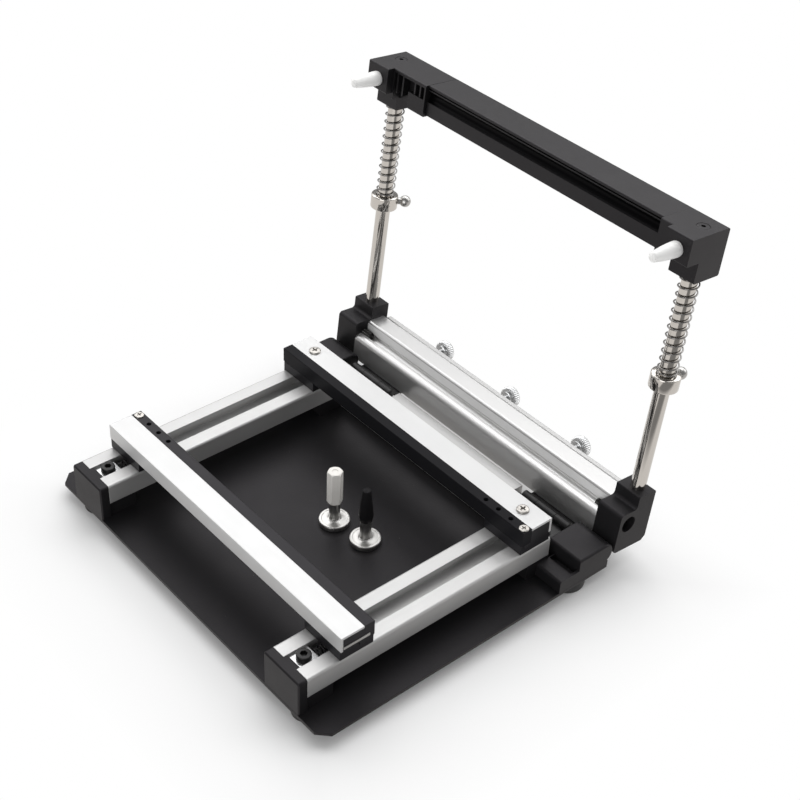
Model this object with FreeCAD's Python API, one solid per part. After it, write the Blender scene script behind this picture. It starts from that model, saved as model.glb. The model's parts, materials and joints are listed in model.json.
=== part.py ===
import FreeCAD, Part
import math
import os

# Manual stencil printer for small circuit boards, in millimetres.
# X runs to the right, Y to the rear and Z up. Lengths along Y are first counted from the front end
# of the rails, and the whole machine is then centred on its own footprint.
# The swinging frame is drawn upright: u is X, w runs to the rear from the beam's front face and
# v runs up from the underside of the beam's end blocks. It is then leaned back on its hinges.

# Fits, clearances and small edges
slide_gap = 0.1
thread_gap = 0.05
pin_gap = 0.05
knuckle_gap = 0.15
swing_gap = 0.35
spring_gap = 0.3
tool_gap = 0.4
overrun = 1.0
fine_edge = 0.3
light_edge = 0.5
screw_taper = 0.6

# Base plate and feet
plate_width = 171.6
plate_thick = 1.5
plate_corner = 4.4
front_foot_dia = 12.5
rear_foot_dia = 15.0
foot_height = 5.0
foot_edge = 0.8
front_foot_inset = 17.8
front_foot_back = 7.1
rear_foot_inset = 8.0
rear_foot_back = 14.0

# Rails with a T-slot along their top
rail_spacing = 125.6
rail_width = 20.0
rail_height = 8.8
rail_length = 115.2
rail_lift = 6.7
rail_round = 1.0
slot_width = 7.3
slot_lip = 1.9
slot_wide = 11.2
slot_depth = 5.6
floor_gap = 0.5

# Front caps and the supports below the rails
cap_thick = 3.9
cap_edge = 0.5
cap_tab_reach = 1.6
support_length = 12.0
support_inset = 1.0

# Corner blocks at the rear
corner_hinge_gap = 2.2
corner_start = 3.8
corner_long = 16.0
corner_height = 10.5
corner_edge = 1.0
corner_support = 5.0
ledge_lap = 6.2
ledge_height = 5.5
ledge_slot_width = 3.6
ledge_slot_depth = 2.4
ledge_slot_inner = 0.3
ledge_slot_outer = 1.2
flange_height = 3.0
flange_round = 1.4

# Rear crossmember between the corner blocks
cross_front_gap = 0.2
cross_height = 7.5
cross_groove_width = 1.2
cross_groove_depth = 0.8
cross_groove_inset = 3.2
cross_screw_inset = 11.4
notch_past_hinge = 3.4
notch_height = 4.0
barrel_relief = 0.7

# Butt hinges
hinge_inset = 44.4
hinge_length = 25.0
hinge_rear_gap = 0.1
hinge_side_knuckle = 7.3
hinge_leaf_width = 11.6
hinge_leaf_thick = 1.0
hinge_barrel_dia = 4.0
hinge_tongue = 3.5
hinge_pin_dia = 2.0
hinge_pin_stand = 0.2
hinge_screw_inset = 4.2
hinge_screw_edge = 3.2
hinge_screw_head = 3.6
hinge_screw_head_high = 0.7
hinge_screw_dia = 1.8
hinge_screw_length = 3.2

# Board clamp bars
bar_overhang = 0.4
bar_depth = 14.8
bar_top = 11.0
foot_block_high = 4.3
cover_width = 10.3
cover_thick = 1.0
cover_leg = 6.7
core_lip_back = 2.0
core_lip_inset = 1.3
core_lip_drop = 1.5
strip_screw_dia = 4.2
strip_screw_high = 0.5
strip_screw_inset = 2.1
strip_screw_shank = 2.0
strip_screw_length = 5.0
pin_hole_dia = 2.0
pin_hole_depth = 3.0
pin_hole_inset = 22.7
pin_hole_pitch = 6.8
pin_hole_count = 3
front_bar_y = 13.9
rear_bar_back = 15.9
bar_screw_dia = 5.5
bar_screw_high = 0.9
bar_screw_out = 0.5
bar_screw_inset = 5.7
bar_screw_shank = 3.0
nut_long = 8.0
nut_side_gap = 0.3
key_width = 7.1
key_depth = 3.2
key_length = 6.6
key_inset = 0.5
band_thick = 0.35
band_high = 1.1
band_low = 1.2
band_inset = 2.2

# Slot stops and slot springs
stop_length = 8.6
stop_sunk = 1.2
stop_screw_head = 5.6
stop_screw_head_high = 3.0
stop_screw_stand = 0.9
stop_screw_dia = 3.0
stop_socket = 2.5
stop_socket_deep = 1.4
slot_spring_dia = 4.4
slot_spring_wire = 0.6
slot_spring_turns = 5
coil_pieces = 8
coil_sides = 4

# Swinging frame
lean = 5.68
hinge_setback = 5.1
beam_half = 73.7
beam_nose_height = 11.8
beam_nose_round = 2.4
beam_nose_flat = 4.1
beam_rear_start = 6.9
beam_rear_drop = 0.6
beam_height = 16.8
beam_depth = 15.8
beam_round = 1.2
channel_w = 5.2
channel_v = 12.5
channel_dia = 3.7
block_width = 12.05
block_depth = 17.8
block_height = 18.3
tower_start = 8.5
tower_height = 23.8
tower_fillet = 1.5
block_chamfer = 1.9
block_edge = 1.5
block_screw_dia = 3.6
block_screw_head = 5.6
block_screw_head_high = 2.6
block_recess_dia = 7.0
block_recess_deep = 5.0
block_screw_length = 11.6
block_screw_socket = 2.5
block_screw_socket_deep = 1.2

# Stencil clamp strip with its thumb screws
strip_short = 1.3
strip_gap = 0.2
strip_thick = 3.0
strip_height = 16.2
strip_base = 1.2
strip_lip = 0.8
thumb_spacing = 41.45
thumb_v = 14.4
thumb_dia = 3.0
thumb_tip_gap = 0.5
thumb_head_dia = 9.0
thumb_head_long = 4.6
thumb_head_start = 5.6
thumb_depth = 7.5
thumb_collar_dia = 6.0
thumb_collar_long = 1.0
thumb_bevel = 0.7
thumb_ridges = 20
thumb_ridge_deep = 0.45

# Rods, collars and rod springs
rod_dia = 6.0
rod_inset = 6.4
rod_w = 13.45
rod_seat = 6.0
rod_top_gap = 8.4
rod_bevel = 0.6
rod_set_dia = 3.0
rod_set_socket = 1.5
rod_set_socket_deep = 0.8
rod_set_v = 19.6
collar_dia = 11.5
collar_high = 6.0
collar_v = 72.7
collar_bevel = 0.5
collar_screw_dia = 2.5
collar_screw_ball = 5.0
collar_screw_reach = 8.95
collar_screw_neck = 2.9
collar_screw_tip_gap = 0.15
collar_left_turn = 34.0
spring_dia = 8.0
spring_wire = 0.65
spring_turns = 12

# Tension bar
tension_v = 117.3
tension_high = 18.9
tension_end_gap = 0.05
tension_end_width = 11.7
tension_step = 8.4
tension_front = 1.4
tension_rear = 21.4
tension_low_front = 7.8
left_sleeve = 19.3
right_sleeve = 5.5
sleeve_front = 4.6
sleeve_drop = 5.7
pocket_deep = 4.0
pocket_wall = 0.8
pocket_lip = 1.3
pocket_box_long = 9.7
pocket_box_top = 12.7
pocket_ribs = (3.0, 6.1, 13.2, 16.5)
pocket_rib_inset = 0.3
pocket_rib_low = 9.3
core_front = 9.5
core_rear = 18.5
core_drop = 8.6
core_head = 3.0
core_past = 1.0
bar_front = 6.0
bar_drop = 6.2
bar_lip_high = 1.1
bar_line_deep = 0.5
bar_line_wide = 0.5
bar_edge = 0.8
bar_channel_radius = 2.5
bar_channel_top = 2.2
bar_channel_low = 6.8
retainer_head = 4.6
retainer_head_high = 1.2
retainer_wall = 4.2
retainer_side_gap = 0.2
retainer_dia = 2.6
retainer_thread = 7.0
retainer_socket = 1.5
retainer_socket_deep = 0.6

# Resting pegs of the tension bar
peg_inset = 0.3
peg_drop = 5.8
peg_dia = 6.0
peg_long = 13.2
peg_tip_dia = 3.9
peg_tip_long = 1.4
peg_tip_end = 1.8
peg_curve = 1.8
peg_rings = 5
peg_stem_dia = 3.0
peg_stem_long = 4.0

# Magnetic support pillars standing on the plate
pillar_dia = 12.5
pillar_disc_high = 2.2
pillar_lip = 0.5
pillar_top = 26.0
pillar_stem_dia = 3.6
pillar_cap_high = 17.2
hex_across = 5.5
hex_bevel = 0.5
hex_x = 2.7
hex_y = 67.1
cone_x = 18.7
cone_y = 69.7
cone_top_dia = 4.4
cone_wide_dia = 5.2
cone_foot_dia = 3.6
cone_wide_drop = 3.0
pillar_gap = 0.05
stud_dia = 2.16
stud_inside = 8.0

# Screws below the plate
under_head_dia = 5.4
under_head_high = 1.5
under_dia = 2.6
under_length = 4.5
under_inset = 3.0

# Places that follow from the sizes above
plate_half = plate_width / 2
plate_top = foot_height + plate_thick
front_foot_x = plate_half - front_foot_inset
front_foot_y = front_foot_back - cap_thick
rail_x = rail_spacing / 2
rail_base = plate_top + rail_lift
rail_top = rail_base + rail_height
slot_floor = rail_top - slot_depth
slot_low = slot_floor + floor_gap
rear_bar_y = rail_length - rear_bar_back
hinge_inner = plate_half - hinge_inset
notch_inner = hinge_inner - notch_past_hinge
cross_screw_x = notch_inner - cross_screw_inset
corner_inner = hinge_inner + hinge_length + corner_hinge_gap
corner_front = rail_length + corner_start
ledge_front = rail_length - ledge_lap
plate_rear = corner_front + corner_long
rear_foot_x = plate_half - rear_foot_inset
rear_foot_y = plate_rear - rear_foot_back
cross_front = rail_length + cross_front_gap
cross_top = plate_top + cross_height
notch_floor = plate_top + notch_height
barrel_radius = hinge_barrel_dia / 2
pivot_z = notch_floor + barrel_radius
pivot_y = plate_rear - hinge_rear_gap - barrel_radius
cross_rear = pivot_y + barrel_radius
bar_half = rail_x + rail_width / 2 + bar_overhang
bar_z = rail_top + bar_top
body_low = rail_top + foot_block_high
strip_screw_x = bar_half - strip_screw_inset
pin_hole_first = bar_half - pin_hole_inset
bar_screw_x = rail_x + bar_screw_out
stop_start = cap_tab_reach + slide_gap
stop_end = stop_start + stop_length
stop_screw_y = (stop_start + stop_end) / 2
block_out = beam_half + block_width
strip_half = beam_half - strip_short
rod_x = beam_half + rod_inset
peg_x = rod_x - peg_inset
tension_half = block_out - tension_end_gap
tension_end_inner = tension_half - tension_end_width
tension_top = tension_v + tension_high
rod_top = tension_top - retainer_head_high - retainer_wall - rod_top_gap
lean_rad = math.radians(lean)
rear_reach = (pivot_y + bar_edge + (hinge_setback + tension_rear - bar_edge) * math.cos(lean_rad)
              + (tension_top - barrel_radius - bar_edge) * math.sin(lean_rad))
centre_y = (rear_reach - cap_thick) / 2

left = -1
right = 1
x_axis = FreeCAD.Vector(1, 0, 0)
y_axis = FreeCAD.Vector(0, 1, 0)
z_axis = FreeCAD.Vector(0, 0, 1)
nowhere = FreeCAD.Vector(0, 0, 0)


def point(x, y, z):
    return FreeCAD.Vector(x, y, z)


def block(x0, x1, y0, y1, z0, z1):
    low = point(min(x0, x1), min(y0, y1), min(z0, z1))
    return Part.makeBox(abs(x1 - x0), abs(y1 - y0), abs(z1 - z0), low)


def round_bar(dia, start, end):
    along = end - start
    return Part.makeCylinder(dia / 2, along.Length, start, along)


def cone_bar(dia_start, dia_end, start, end):
    along = end - start
    return Part.makeCone(dia_start / 2, dia_end / 2, along.Length, start, along)


def rounded_outline(corners):
    """A closed wire through corners (a, b, radius), with a tangent arc at each rounded one."""
    count = len(corners)
    joins = []
    for i in range(count):
        here = FreeCAD.Vector(corners[i][0], corners[i][1], 0)
        before = FreeCAD.Vector(corners[i - 1][0], corners[i - 1][1], 0)
        after = FreeCAD.Vector(corners[(i + 1) % count][0], corners[(i + 1) % count][1], 0)
        radius = corners[i][2]
        if radius == 0:
            joins.append((here, here, here))
            continue
        back = (before - here).normalize()
        ahead = (after - here).normalize()
        half = back.getAngle(ahead) / 2
        run = radius / math.tan(half)
        bisector = (back + ahead).normalize()
        middle = here + bisector * (radius / math.sin(half) - radius)
        joins.append((here + back * run, middle, here + ahead * run))
    edges = []
    for i in range(count):
        first, middle, last = joins[i]
        if first != last:
            edges.append(Part.Arc(first, middle, last).toShape())
        following = joins[(i + 1) % count][0]
        if (following - last).Length > 1e-6:
            edges.append(Part.LineSegment(last, following).toShape())
    return Part.Wire(edges)


def along_x(corners, x0, x1):
    """A solid with the outline (y, z, radius) from x0 to x1."""
    face = Part.Face(rounded_outline(corners))
    turn = FreeCAD.Placement(point(min(x0, x1), 0, 0), FreeCAD.Rotation(y_axis, z_axis, x_axis, "XYZ"))
    face.Placement = turn
    return face.extrude(point(abs(x1 - x0), 0, 0))


def along_y(corners, y0, y1):
    """A solid with the outline (x, z, radius) from y0 to y1."""
    face = Part.Face(rounded_outline(corners))
    face.rotate(nowhere, x_axis, 90)
    face.translate(point(0, y0, 0))
    return face.extrude(point(0, y1 - y0, 0))


def along_z(corners, z0, z1):
    """A solid with the outline (x, y, radius) from z0 to z1."""
    face = Part.Face(rounded_outline(corners))
    face.translate(point(0, 0, z0))
    return face.extrude(point(0, 0, z1 - z0))


def fused(shapes):
    whole = shapes[0].multiFuse(shapes[1:])
    return whole.removeSplitter()


def mirrored(shape):
    return shape.mirror(nowhere, x_axis)


def on_side(shape, side):
    """A shape drawn on the right, on the side asked for."""
    if side == right:
        return shape
    return mirrored(shape)


def pan_screw(head_dia, head_high, shank_dia, length, seat, outward):
    """A pan head screw whose head stands on seat and whose shank goes the other way."""
    head = cone_bar(head_dia, head_dia - head_high * screw_taper, seat, seat + outward * head_high)
    shank = round_bar(shank_dia, seat, seat - outward * length)
    return fused([head, shank])


def flat_face(corners):
    return Part.Face(Part.makePolygon(corners + corners[:1]))


def hex_socket(across, depth, top, outward):
    """The six-sided hole of a socket screw, opening at top."""
    corners = [(across / math.sqrt(3) * math.cos(math.radians(60 * i)),
                across / math.sqrt(3) * math.sin(math.radians(60 * i)), 0) for i in range(6)]
    hole = along_z(corners, -depth, 0)
    hole.Placement = FreeCAD.Placement(top, FreeCAD.Rotation(z_axis, outward))
    return hole


def coil(dia, wire, turns, start, along, length):
    """A compression spring from start, with its whole height equal to length.

    Each turn is made of straight pieces of four-sided wire, so that the whole coil stays light.
    """
    pitch = (length - wire) / turns
    mean = (dia - wire) / 2
    count = turns * coil_pieces + 1
    rings = []
    for i in range(count):
        angle = 2 * math.pi * i / coil_pieces
        rings.append([point((mean + wire / 2 * math.cos(around)) * math.cos(angle),
                            (mean + wire / 2 * math.cos(around)) * math.sin(angle),
                            wire / 2 + pitch * i / coil_pieces + wire / 2 * math.sin(around))
                      for around in [2 * math.pi * k / coil_sides for k in range(coil_sides)]])
    faces = [flat_face(rings[0]), flat_face(rings[-1][::-1])]
    for i in range(count - 1):
        for k in range(coil_sides):
            after = (k + 1) % coil_sides
            faces.append(flat_face([rings[i][k], rings[i + 1][k], rings[i + 1][after]]))
            faces.append(flat_face([rings[i][k], rings[i + 1][after], rings[i][after]]))
    spring = Part.makeSolid(Part.makeShell(faces))
    if spring.Volume < 0:
        spring.reverse()
    spring.Placement = FreeCAD.Placement(start, FreeCAD.Rotation(z_axis, along))
    return spring


# Base

def base_plate():
    corners = [(-plate_half, plate_rear, 0), (-plate_half, plate_corner - cap_thick, 0),
               (plate_corner - plate_half, -cap_thick, 0), (plate_half - plate_corner, -cap_thick, 0),
               (plate_half, plate_corner - cap_thick, 0), (plate_half, plate_rear, 0)]
    plate = along_z(corners, foot_height, plate_top)
    for x, y in under_screw_places():
        plate = plate.cut(round_bar(under_dia, point(x, y, foot_height), point(x, y, plate_top)))
    return plate


def under_screw_places():
    """Screws that hold the supports, corner blocks and crossmember down to the plate."""
    support_y = support_length - under_inset
    ledge_y = ledge_front + under_inset
    places = []
    for side in (left, right):
        places.append((side * (rail_x - under_inset), support_y))
        places.append((side * rail_x, ledge_y))
        places.append((side * cross_screw_x, (cross_front + cross_rear) / 2))
    return places


def plate_screws():
    screws = []
    for x, y in under_screw_places():
        screws.append(pan_screw(under_head_dia, under_head_high, under_dia, under_length,
                                point(x, y, foot_height), -z_axis))
    return Part.makeCompound(screws)


def under_screw_holes(shape, base):
    for x, y in under_screw_places():
        shape = shape.cut(round_bar(under_dia, point(x, y, base),
                                    point(x, y, foot_height + under_length)))
    return shape


def rubber_feet():
    feet = []
    for x, y, dia in ((front_foot_x, front_foot_y, front_foot_dia),
                      (rear_foot_x, rear_foot_y, rear_foot_dia)):
        for side in (left, right):
            foot = round_bar(dia, point(side * x, y, 0), point(side * x, y, foot_height))
            rim = [edge for edge in foot.Edges if edge.Closed and edge.CenterOfMass.z < foot_edge / 2]
            feet.append(foot.makeChamfer(foot_edge, rim))
    return Part.makeCompound(feet)


def rail(side):
    """An extruded rail with a T-slot on top."""
    half = rail_width / 2
    mouth = slot_width / 2
    wide = slot_wide / 2
    right_half = [(mouth, slot_floor, 0), (wide, slot_floor, 0), (wide, rail_top - slot_lip, 0),
                  (mouth, rail_top - slot_lip, 0), (mouth, rail_top, 0), (half, rail_top, rail_round),
                  (half, rail_base, fine_edge)]
    left_half = [(-a, b, r) for a, b, r in reversed(right_half)]
    outline = [(rail_x + a, b, r) for a, b, r in left_half + right_half]
    # The loop is reversed so that the slot's floor closes it.
    body = along_y(outline[::-1], 0, rail_length)
    return on_side(body, side)


def front_cap(side):
    """End cap of a rail, with a tab that closes the slot's mouth and a support below the rail."""
    half = rail_width / 2
    mouth = slot_width / 2
    plate = along_y([(rail_x - half, plate_top, 0), (rail_x - half, rail_top, rail_round),
                     (rail_x + half, rail_top, rail_round), (rail_x + half, plate_top, 0)], -cap_thick, 0)
    upper = [edge for edge in plate.Edges if abs(edge.CenterOfMass.y + cap_thick) < light_edge / 2
             and edge.CenterOfMass.z > rail_top - light_edge / 2]
    plate = plate.makeChamfer(cap_edge, upper)
    tab = block(rail_x - mouth, rail_x + mouth, 0, cap_tab_reach, rail_top - slot_lip, rail_top)
    inset = half - support_inset
    support = block(rail_x - inset, rail_x + inset, 0, support_length, plate_top, rail_base)
    return on_side(under_screw_holes(fused([plate, tab, support]), plate_top), side)


def corner_block(side):
    """Moulded block that carries a rail's rear end, rounded behind about the hinge line."""
    out = plate_half
    rail_side = rail_x + rail_width / 2 + slide_gap
    top = plate_top + corner_height
    raised = block(corner_inner, out, corner_front, pivot_y, plate_top, top)
    upper = [edge for edge in raised.Edges if edge.BoundBox.ZMin > top - corner_edge
             and edge.BoundBox.YMin < pivot_y - corner_edge]
    raised = raised.makeFillet(corner_edge, upper)
    heel = round_bar(2 * (top - pivot_z), point(corner_inner, pivot_y, pivot_z), point(out, pivot_y, pivot_z))
    heel = heel.makeFillet(corner_edge, [edge for edge in heel.Edges if edge.Closed])
    ledge_top = plate_top + ledge_height
    ledge = along_x([(ledge_front, plate_top, 0), (ledge_front, ledge_top, corner_edge),
                     (corner_front, ledge_top, 0), (corner_front, plate_top, 0)], rail_side, out)
    flange = along_x([(pivot_y, plate_top, 0), (pivot_y, plate_top + flange_height, 0),
                      (plate_rear, plate_top + flange_height, flange_round), (plate_rear, plate_top, 0)],
                     corner_inner, out)
    inset = rail_width / 2 - support_inset
    support = block(rail_x - inset, rail_side, ledge_front - corner_support, rail_length, plate_top,
                    rail_base)
    body = fused([raised, heel, ledge, flange, support])
    slot = block(rail_side + ledge_slot_inner, out - ledge_slot_outer, corner_front - ledge_slot_width,
                 corner_front, ledge_top - ledge_slot_depth, ledge_top + overrun)
    return on_side(under_screw_holes(body.cut(slot), plate_top), side)


def rear_crossmember():
    """Extruded bar behind the rails, notched for the two hinges."""
    end = corner_inner
    body = along_x([(cross_front, plate_top, 0), (cross_front, cross_top, fine_edge),
                    (cross_rear, cross_top, fine_edge), (cross_rear, plate_top, 0)], -end, end)
    groove_y = cross_front + cross_groove_inset
    body = body.cut(block(-end, end, groove_y, groove_y + cross_groove_width,
                          cross_top - cross_groove_depth, cross_top + overrun))
    notch_front = pivot_y - hinge_leaf_width - tool_gap
    for side in (left, right):
        notch = block(side * notch_inner, side * (end + overrun), notch_front, cross_rear + overrun,
                      notch_floor, cross_top + overrun)
        relief = block(side * notch_inner, side * (end + overrun), pivot_y - barrel_radius - 2 * swing_gap,
                       cross_rear + overrun, notch_floor - barrel_relief, notch_floor + overrun)
        body = body.cut(fused([notch, relief]))
        for x, y in hinge_screw_places():
            screw_low = notch_floor + hinge_leaf_thick - hinge_screw_length
            body = body.cut(round_bar(hinge_screw_dia, point(side * x, y, notch_floor),
                                      point(side * x, y, screw_low)))
    return under_screw_holes(body, plate_top)


# Hinges

def hinge_screw_places():
    y = pivot_y - hinge_leaf_width + hinge_screw_edge
    return [(hinge_inner + hinge_screw_inset, y), (hinge_inner + hinge_length - hinge_screw_inset, y)]


def knuckle_spans():
    """Start and end of the base leaf's two knuckles and the frame leaf's one, along X."""
    first = hinge_inner + hinge_side_knuckle
    second = hinge_inner + hinge_length - hinge_side_knuckle
    outer = [(hinge_inner, first), (second, hinge_inner + hinge_length)]
    inner = [(first + knuckle_gap, second - knuckle_gap)]
    return outer, inner


def knuckles(spans, bore, reach):
    """Rolled knuckles about the pin, joined to the leaf plane by a flat tongue that reaches to one side."""
    parts = []
    for x0, x1 in spans:
        parts.append(round_bar(hinge_barrel_dia, point(x0, 0, barrel_radius), point(x1, 0, barrel_radius)))
        parts.append(block(x0, x1, 0, reach, 0, hinge_leaf_thick))
    rolled = parts[0].multiFuse(parts[1:])
    for x0, x1 in spans:
        rolled = rolled.cut(round_bar(bore, point(x0, 0, barrel_radius), point(x1, 0, barrel_radius)))
    return rolled


def hinge_leaf(spans, bore, direction):
    """A leaf drawn with its underside at height 0 and its pin above the line y = 0."""
    start = direction * (barrel_radius + swing_gap)
    plate = block(hinge_inner, hinge_inner + hinge_length, start, direction * hinge_leaf_width, 0,
                  hinge_leaf_thick)
    leaf = fused([plate, knuckles(spans, bore, direction * hinge_tongue)])
    hole_y = direction * (hinge_leaf_width - hinge_screw_edge)
    for x, y in hinge_screw_places():
        leaf = leaf.cut(round_bar(hinge_screw_dia, point(x, hole_y, 0), point(x, hole_y, hinge_leaf_thick)))
    return leaf


def hinge_base_leaf(side):
    leaf = hinge_leaf(knuckle_spans()[0], hinge_pin_dia, -1)
    leaf.translate(point(0, pivot_y, notch_floor))
    return on_side(leaf, side)


def hinge_frame_leaf(side):
    leaf = hinge_leaf(knuckle_spans()[1], hinge_pin_dia + 2 * pin_gap, 1)
    leaf.translate(point(0, -hinge_setback, 0))
    return on_side(leaf, side)


def hinge_pins():
    pins = []
    for side in (left, right):
        start = side * (hinge_inner - hinge_pin_stand)
        end = side * (hinge_inner + hinge_length + hinge_pin_stand)
        pins.append(round_bar(hinge_pin_dia, point(start, pivot_y, pivot_z), point(end, pivot_y, pivot_z)))
    return Part.makeCompound(pins)


def hinge_base_screws():
    screws = []
    for side in (left, right):
        for x, y in hinge_screw_places():
            screws.append(pan_screw(hinge_screw_head, hinge_screw_head_high, hinge_screw_dia,
                                    hinge_screw_length, point(side * x, y, notch_floor + hinge_leaf_thick),
                                    z_axis))
    return Part.makeCompound(screws)


def hinge_frame_screw_points():
    w = hinge_leaf_width - hinge_screw_edge - hinge_setback
    return [(side * x, w) for side in (left, right) for x, y in hinge_screw_places()]


def hinge_frame_screws():
    screws = [pan_screw(hinge_screw_head, hinge_screw_head_high, hinge_screw_dia, hinge_screw_length,
                        point(x, w, 0), -z_axis) for x, w in hinge_frame_screw_points()]
    return Part.makeCompound(screws)


# Board clamp bars, drawn as the front one from its outer face at y = 0

def bar_feet(low, keyed):
    """Feet over the rails, each with a key in the slot where the bar slides."""
    feet = []
    half = rail_width / 2
    for side in (left, right):
        x = side * rail_x
        feet.append(block(x - half, x + half, 0, bar_depth, low, body_low))
        if keyed:
            feet.append(block(x - key_width / 2, x + key_width / 2, bar_depth - key_inset - key_length,
                              bar_depth - key_inset, rail_top - key_depth, low))
    return feet


def clamp_core(low, keyed):
    """Black core of a clamp bar, with a lip below the edge strip."""
    core = block(-bar_half, bar_half, cover_thick, cover_width, body_low, bar_z - cover_thick)
    lip = block(-bar_half, bar_half, cover_width - core_lip_back, bar_depth - core_lip_inset,
                body_low - core_lip_drop, body_low)
    return fused([core, lip] + bar_feet(low, keyed))


def clamp_cover():
    """Aluminium angle over the top and the outer face."""
    leg_low = bar_z - cover_leg
    return along_x([(0, leg_low, 0), (0, bar_z, fine_edge), (cover_width, bar_z, 0),
                    (cover_width, bar_z - cover_thick, 0), (cover_thick, bar_z - cover_thick, 0),
                    (cover_thick, leg_low, 0)], -bar_half, bar_half)


def strip_screw_place():
    return point(-strip_screw_x, (cover_width + bar_depth) / 2, bar_z)


def clamp_strip():
    """Black edge strip beside the board, with a row of pin holes at one end."""
    strip = along_x([(cover_width, body_low, 0), (cover_width, bar_z, 0), (bar_depth, bar_z, fine_edge),
                     (bar_depth, body_low, fine_edge)], -bar_half, bar_half)
    y = (cover_width + bar_depth) / 2
    for i in range(pin_hole_count):
        x = -pin_hole_first - i * pin_hole_pitch
        strip = strip.cut(round_bar(pin_hole_dia, point(x, y, bar_z - pin_hole_depth), point(x, y, bar_z)))
    seat = strip_screw_place()
    return strip.cut(round_bar(strip_screw_shank, seat, seat - z_axis * strip_screw_length))


def strip_screw():
    return pan_screw(strip_screw_dia, strip_screw_high, strip_screw_shank, strip_screw_length,
                     strip_screw_place(), z_axis)


def as_front(shape):
    moved = shape.copy()
    moved.translate(point(0, front_bar_y, 0))
    return moved


def as_rear(shape):
    turned = shape.copy()
    turned.rotate(nowhere, z_axis, 180)
    turned.translate(point(0, rear_bar_y + bar_depth, 0))
    return turned


def bar_screw_places():
    return [point(side * bar_screw_x, bar_screw_inset, bar_z) for side in (left, right)]


def drilled_for_bar_screws(shape):
    for top in bar_screw_places():
        shape = shape.cut(round_bar(bar_screw_shank, top, point(top.x, top.y, slot_low)))
    return shape


def rear_bar_screws():
    length = bar_z - slot_low
    screws = [pan_screw(bar_screw_dia, bar_screw_high, bar_screw_shank, length, top, z_axis)
              for top in bar_screw_places()]
    return as_rear(Part.makeCompound(screws))


def rear_slot_nuts():
    """Nuts in the slots that the rear bar's screws draw up."""
    nuts = []
    half = slot_wide / 2 - nut_side_gap
    low = rail_top - slot_lip
    for top in bar_screw_places():
        x = -rail_x if top.x < 0 else rail_x
        nut = block(x - half, x + half, top.y - nut_long / 2, top.y + nut_long / 2, slot_low, low)
        nuts.append(nut.cut(round_bar(bar_screw_shank, top, point(top.x, top.y, slot_floor))))
    return as_rear(Part.makeCompound(nuts))


def front_end_band():
    """Thin steel band across the right end of the front bar."""
    return as_front(block(bar_half, bar_half + band_thick, cover_thick, bar_depth - band_inset,
                          body_low + band_low, body_low + band_low + band_high))


# Slot stops

def stop_screw_seat():
    return point(rail_x, stop_screw_y, rail_top + stop_screw_stand - stop_screw_head_high)


def stop_block(side):
    """Slot nut, a little below the rail's top and held up under its lips."""
    top = rail_top - stop_sunk
    neck = block(rail_x - key_width / 2, rail_x + key_width / 2, stop_start, stop_end, slot_low, top)
    wing_half = slot_wide / 2 - slide_gap
    wing = block(rail_x - wing_half, rail_x + wing_half, stop_start, stop_end, slot_low,
                 rail_top - slot_lip - slide_gap)
    seat = stop_screw_seat()
    body = fused([neck, wing]).cut(round_bar(stop_screw_head, seat, point(seat.x, seat.y, top)))
    return on_side(body.cut(round_bar(stop_screw_dia, point(seat.x, seat.y, slot_low), seat)), side)


def stop_screw(side):
    seat = stop_screw_seat()
    top = seat + z_axis * stop_screw_head_high
    head = round_bar(stop_screw_head, seat, top)
    shank = round_bar(stop_screw_dia, point(seat.x, seat.y, slot_low), seat)
    screw = fused([head, shank]).cut(hex_socket(stop_socket, stop_socket_deep, top, z_axis))
    return on_side(screw, side)


def slot_spring(side):
    start = stop_end + spring_gap
    end = front_bar_y + bar_depth - key_inset - key_length - spring_gap
    height = slot_low + slot_spring_dia / 2
    spring = coil(slot_spring_dia, slot_spring_wire, slot_spring_turns, point(rail_x, start, height), y_axis,
                  end - start)
    return on_side(spring, side)


# Swinging frame, drawn upright

def leaned(shape):
    """From the frame's own upright drawing to its place at rest on the hinges."""
    placed = shape.copy()
    placed.translate(point(0, hinge_setback, -barrel_radius))
    placed.rotate(nowhere, x_axis, -lean)
    placed.translate(point(0, pivot_y, pivot_z))
    return placed


def frame_beam():
    """Extruded beam: a rounded nose, an open screw channel and a high rear wall that backs the stencil."""
    base = hinge_leaf_thick
    nose_top = base + beam_nose_height
    top = base + beam_height
    body = along_x([(0, base, light_edge), (0, nose_top, beam_nose_round),
                    (beam_nose_flat, nose_top, fine_edge), (channel_w, channel_v, 0),
                    (beam_rear_start, nose_top - beam_rear_drop, 0),
                    (beam_rear_start, top, beam_round), (beam_depth, top, fine_edge),
                    (beam_depth, base, fine_edge)], -beam_half, beam_half)
    channel = round_bar(channel_dia, point(-beam_half, channel_w, channel_v),
                        point(beam_half, channel_w, channel_v))
    body = body.cut(channel)
    for x in thumb_places():
        body = body.cut(round_bar(thumb_dia + 2 * thread_gap, point(x, thumb_depth, thumb_v),
                                  point(x, beam_depth, thumb_v)))
    for x, w in hinge_frame_screw_points():
        body = body.cut(round_bar(hinge_screw_dia, point(x, w, base), point(x, w, hinge_screw_length)))
    return body


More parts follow.
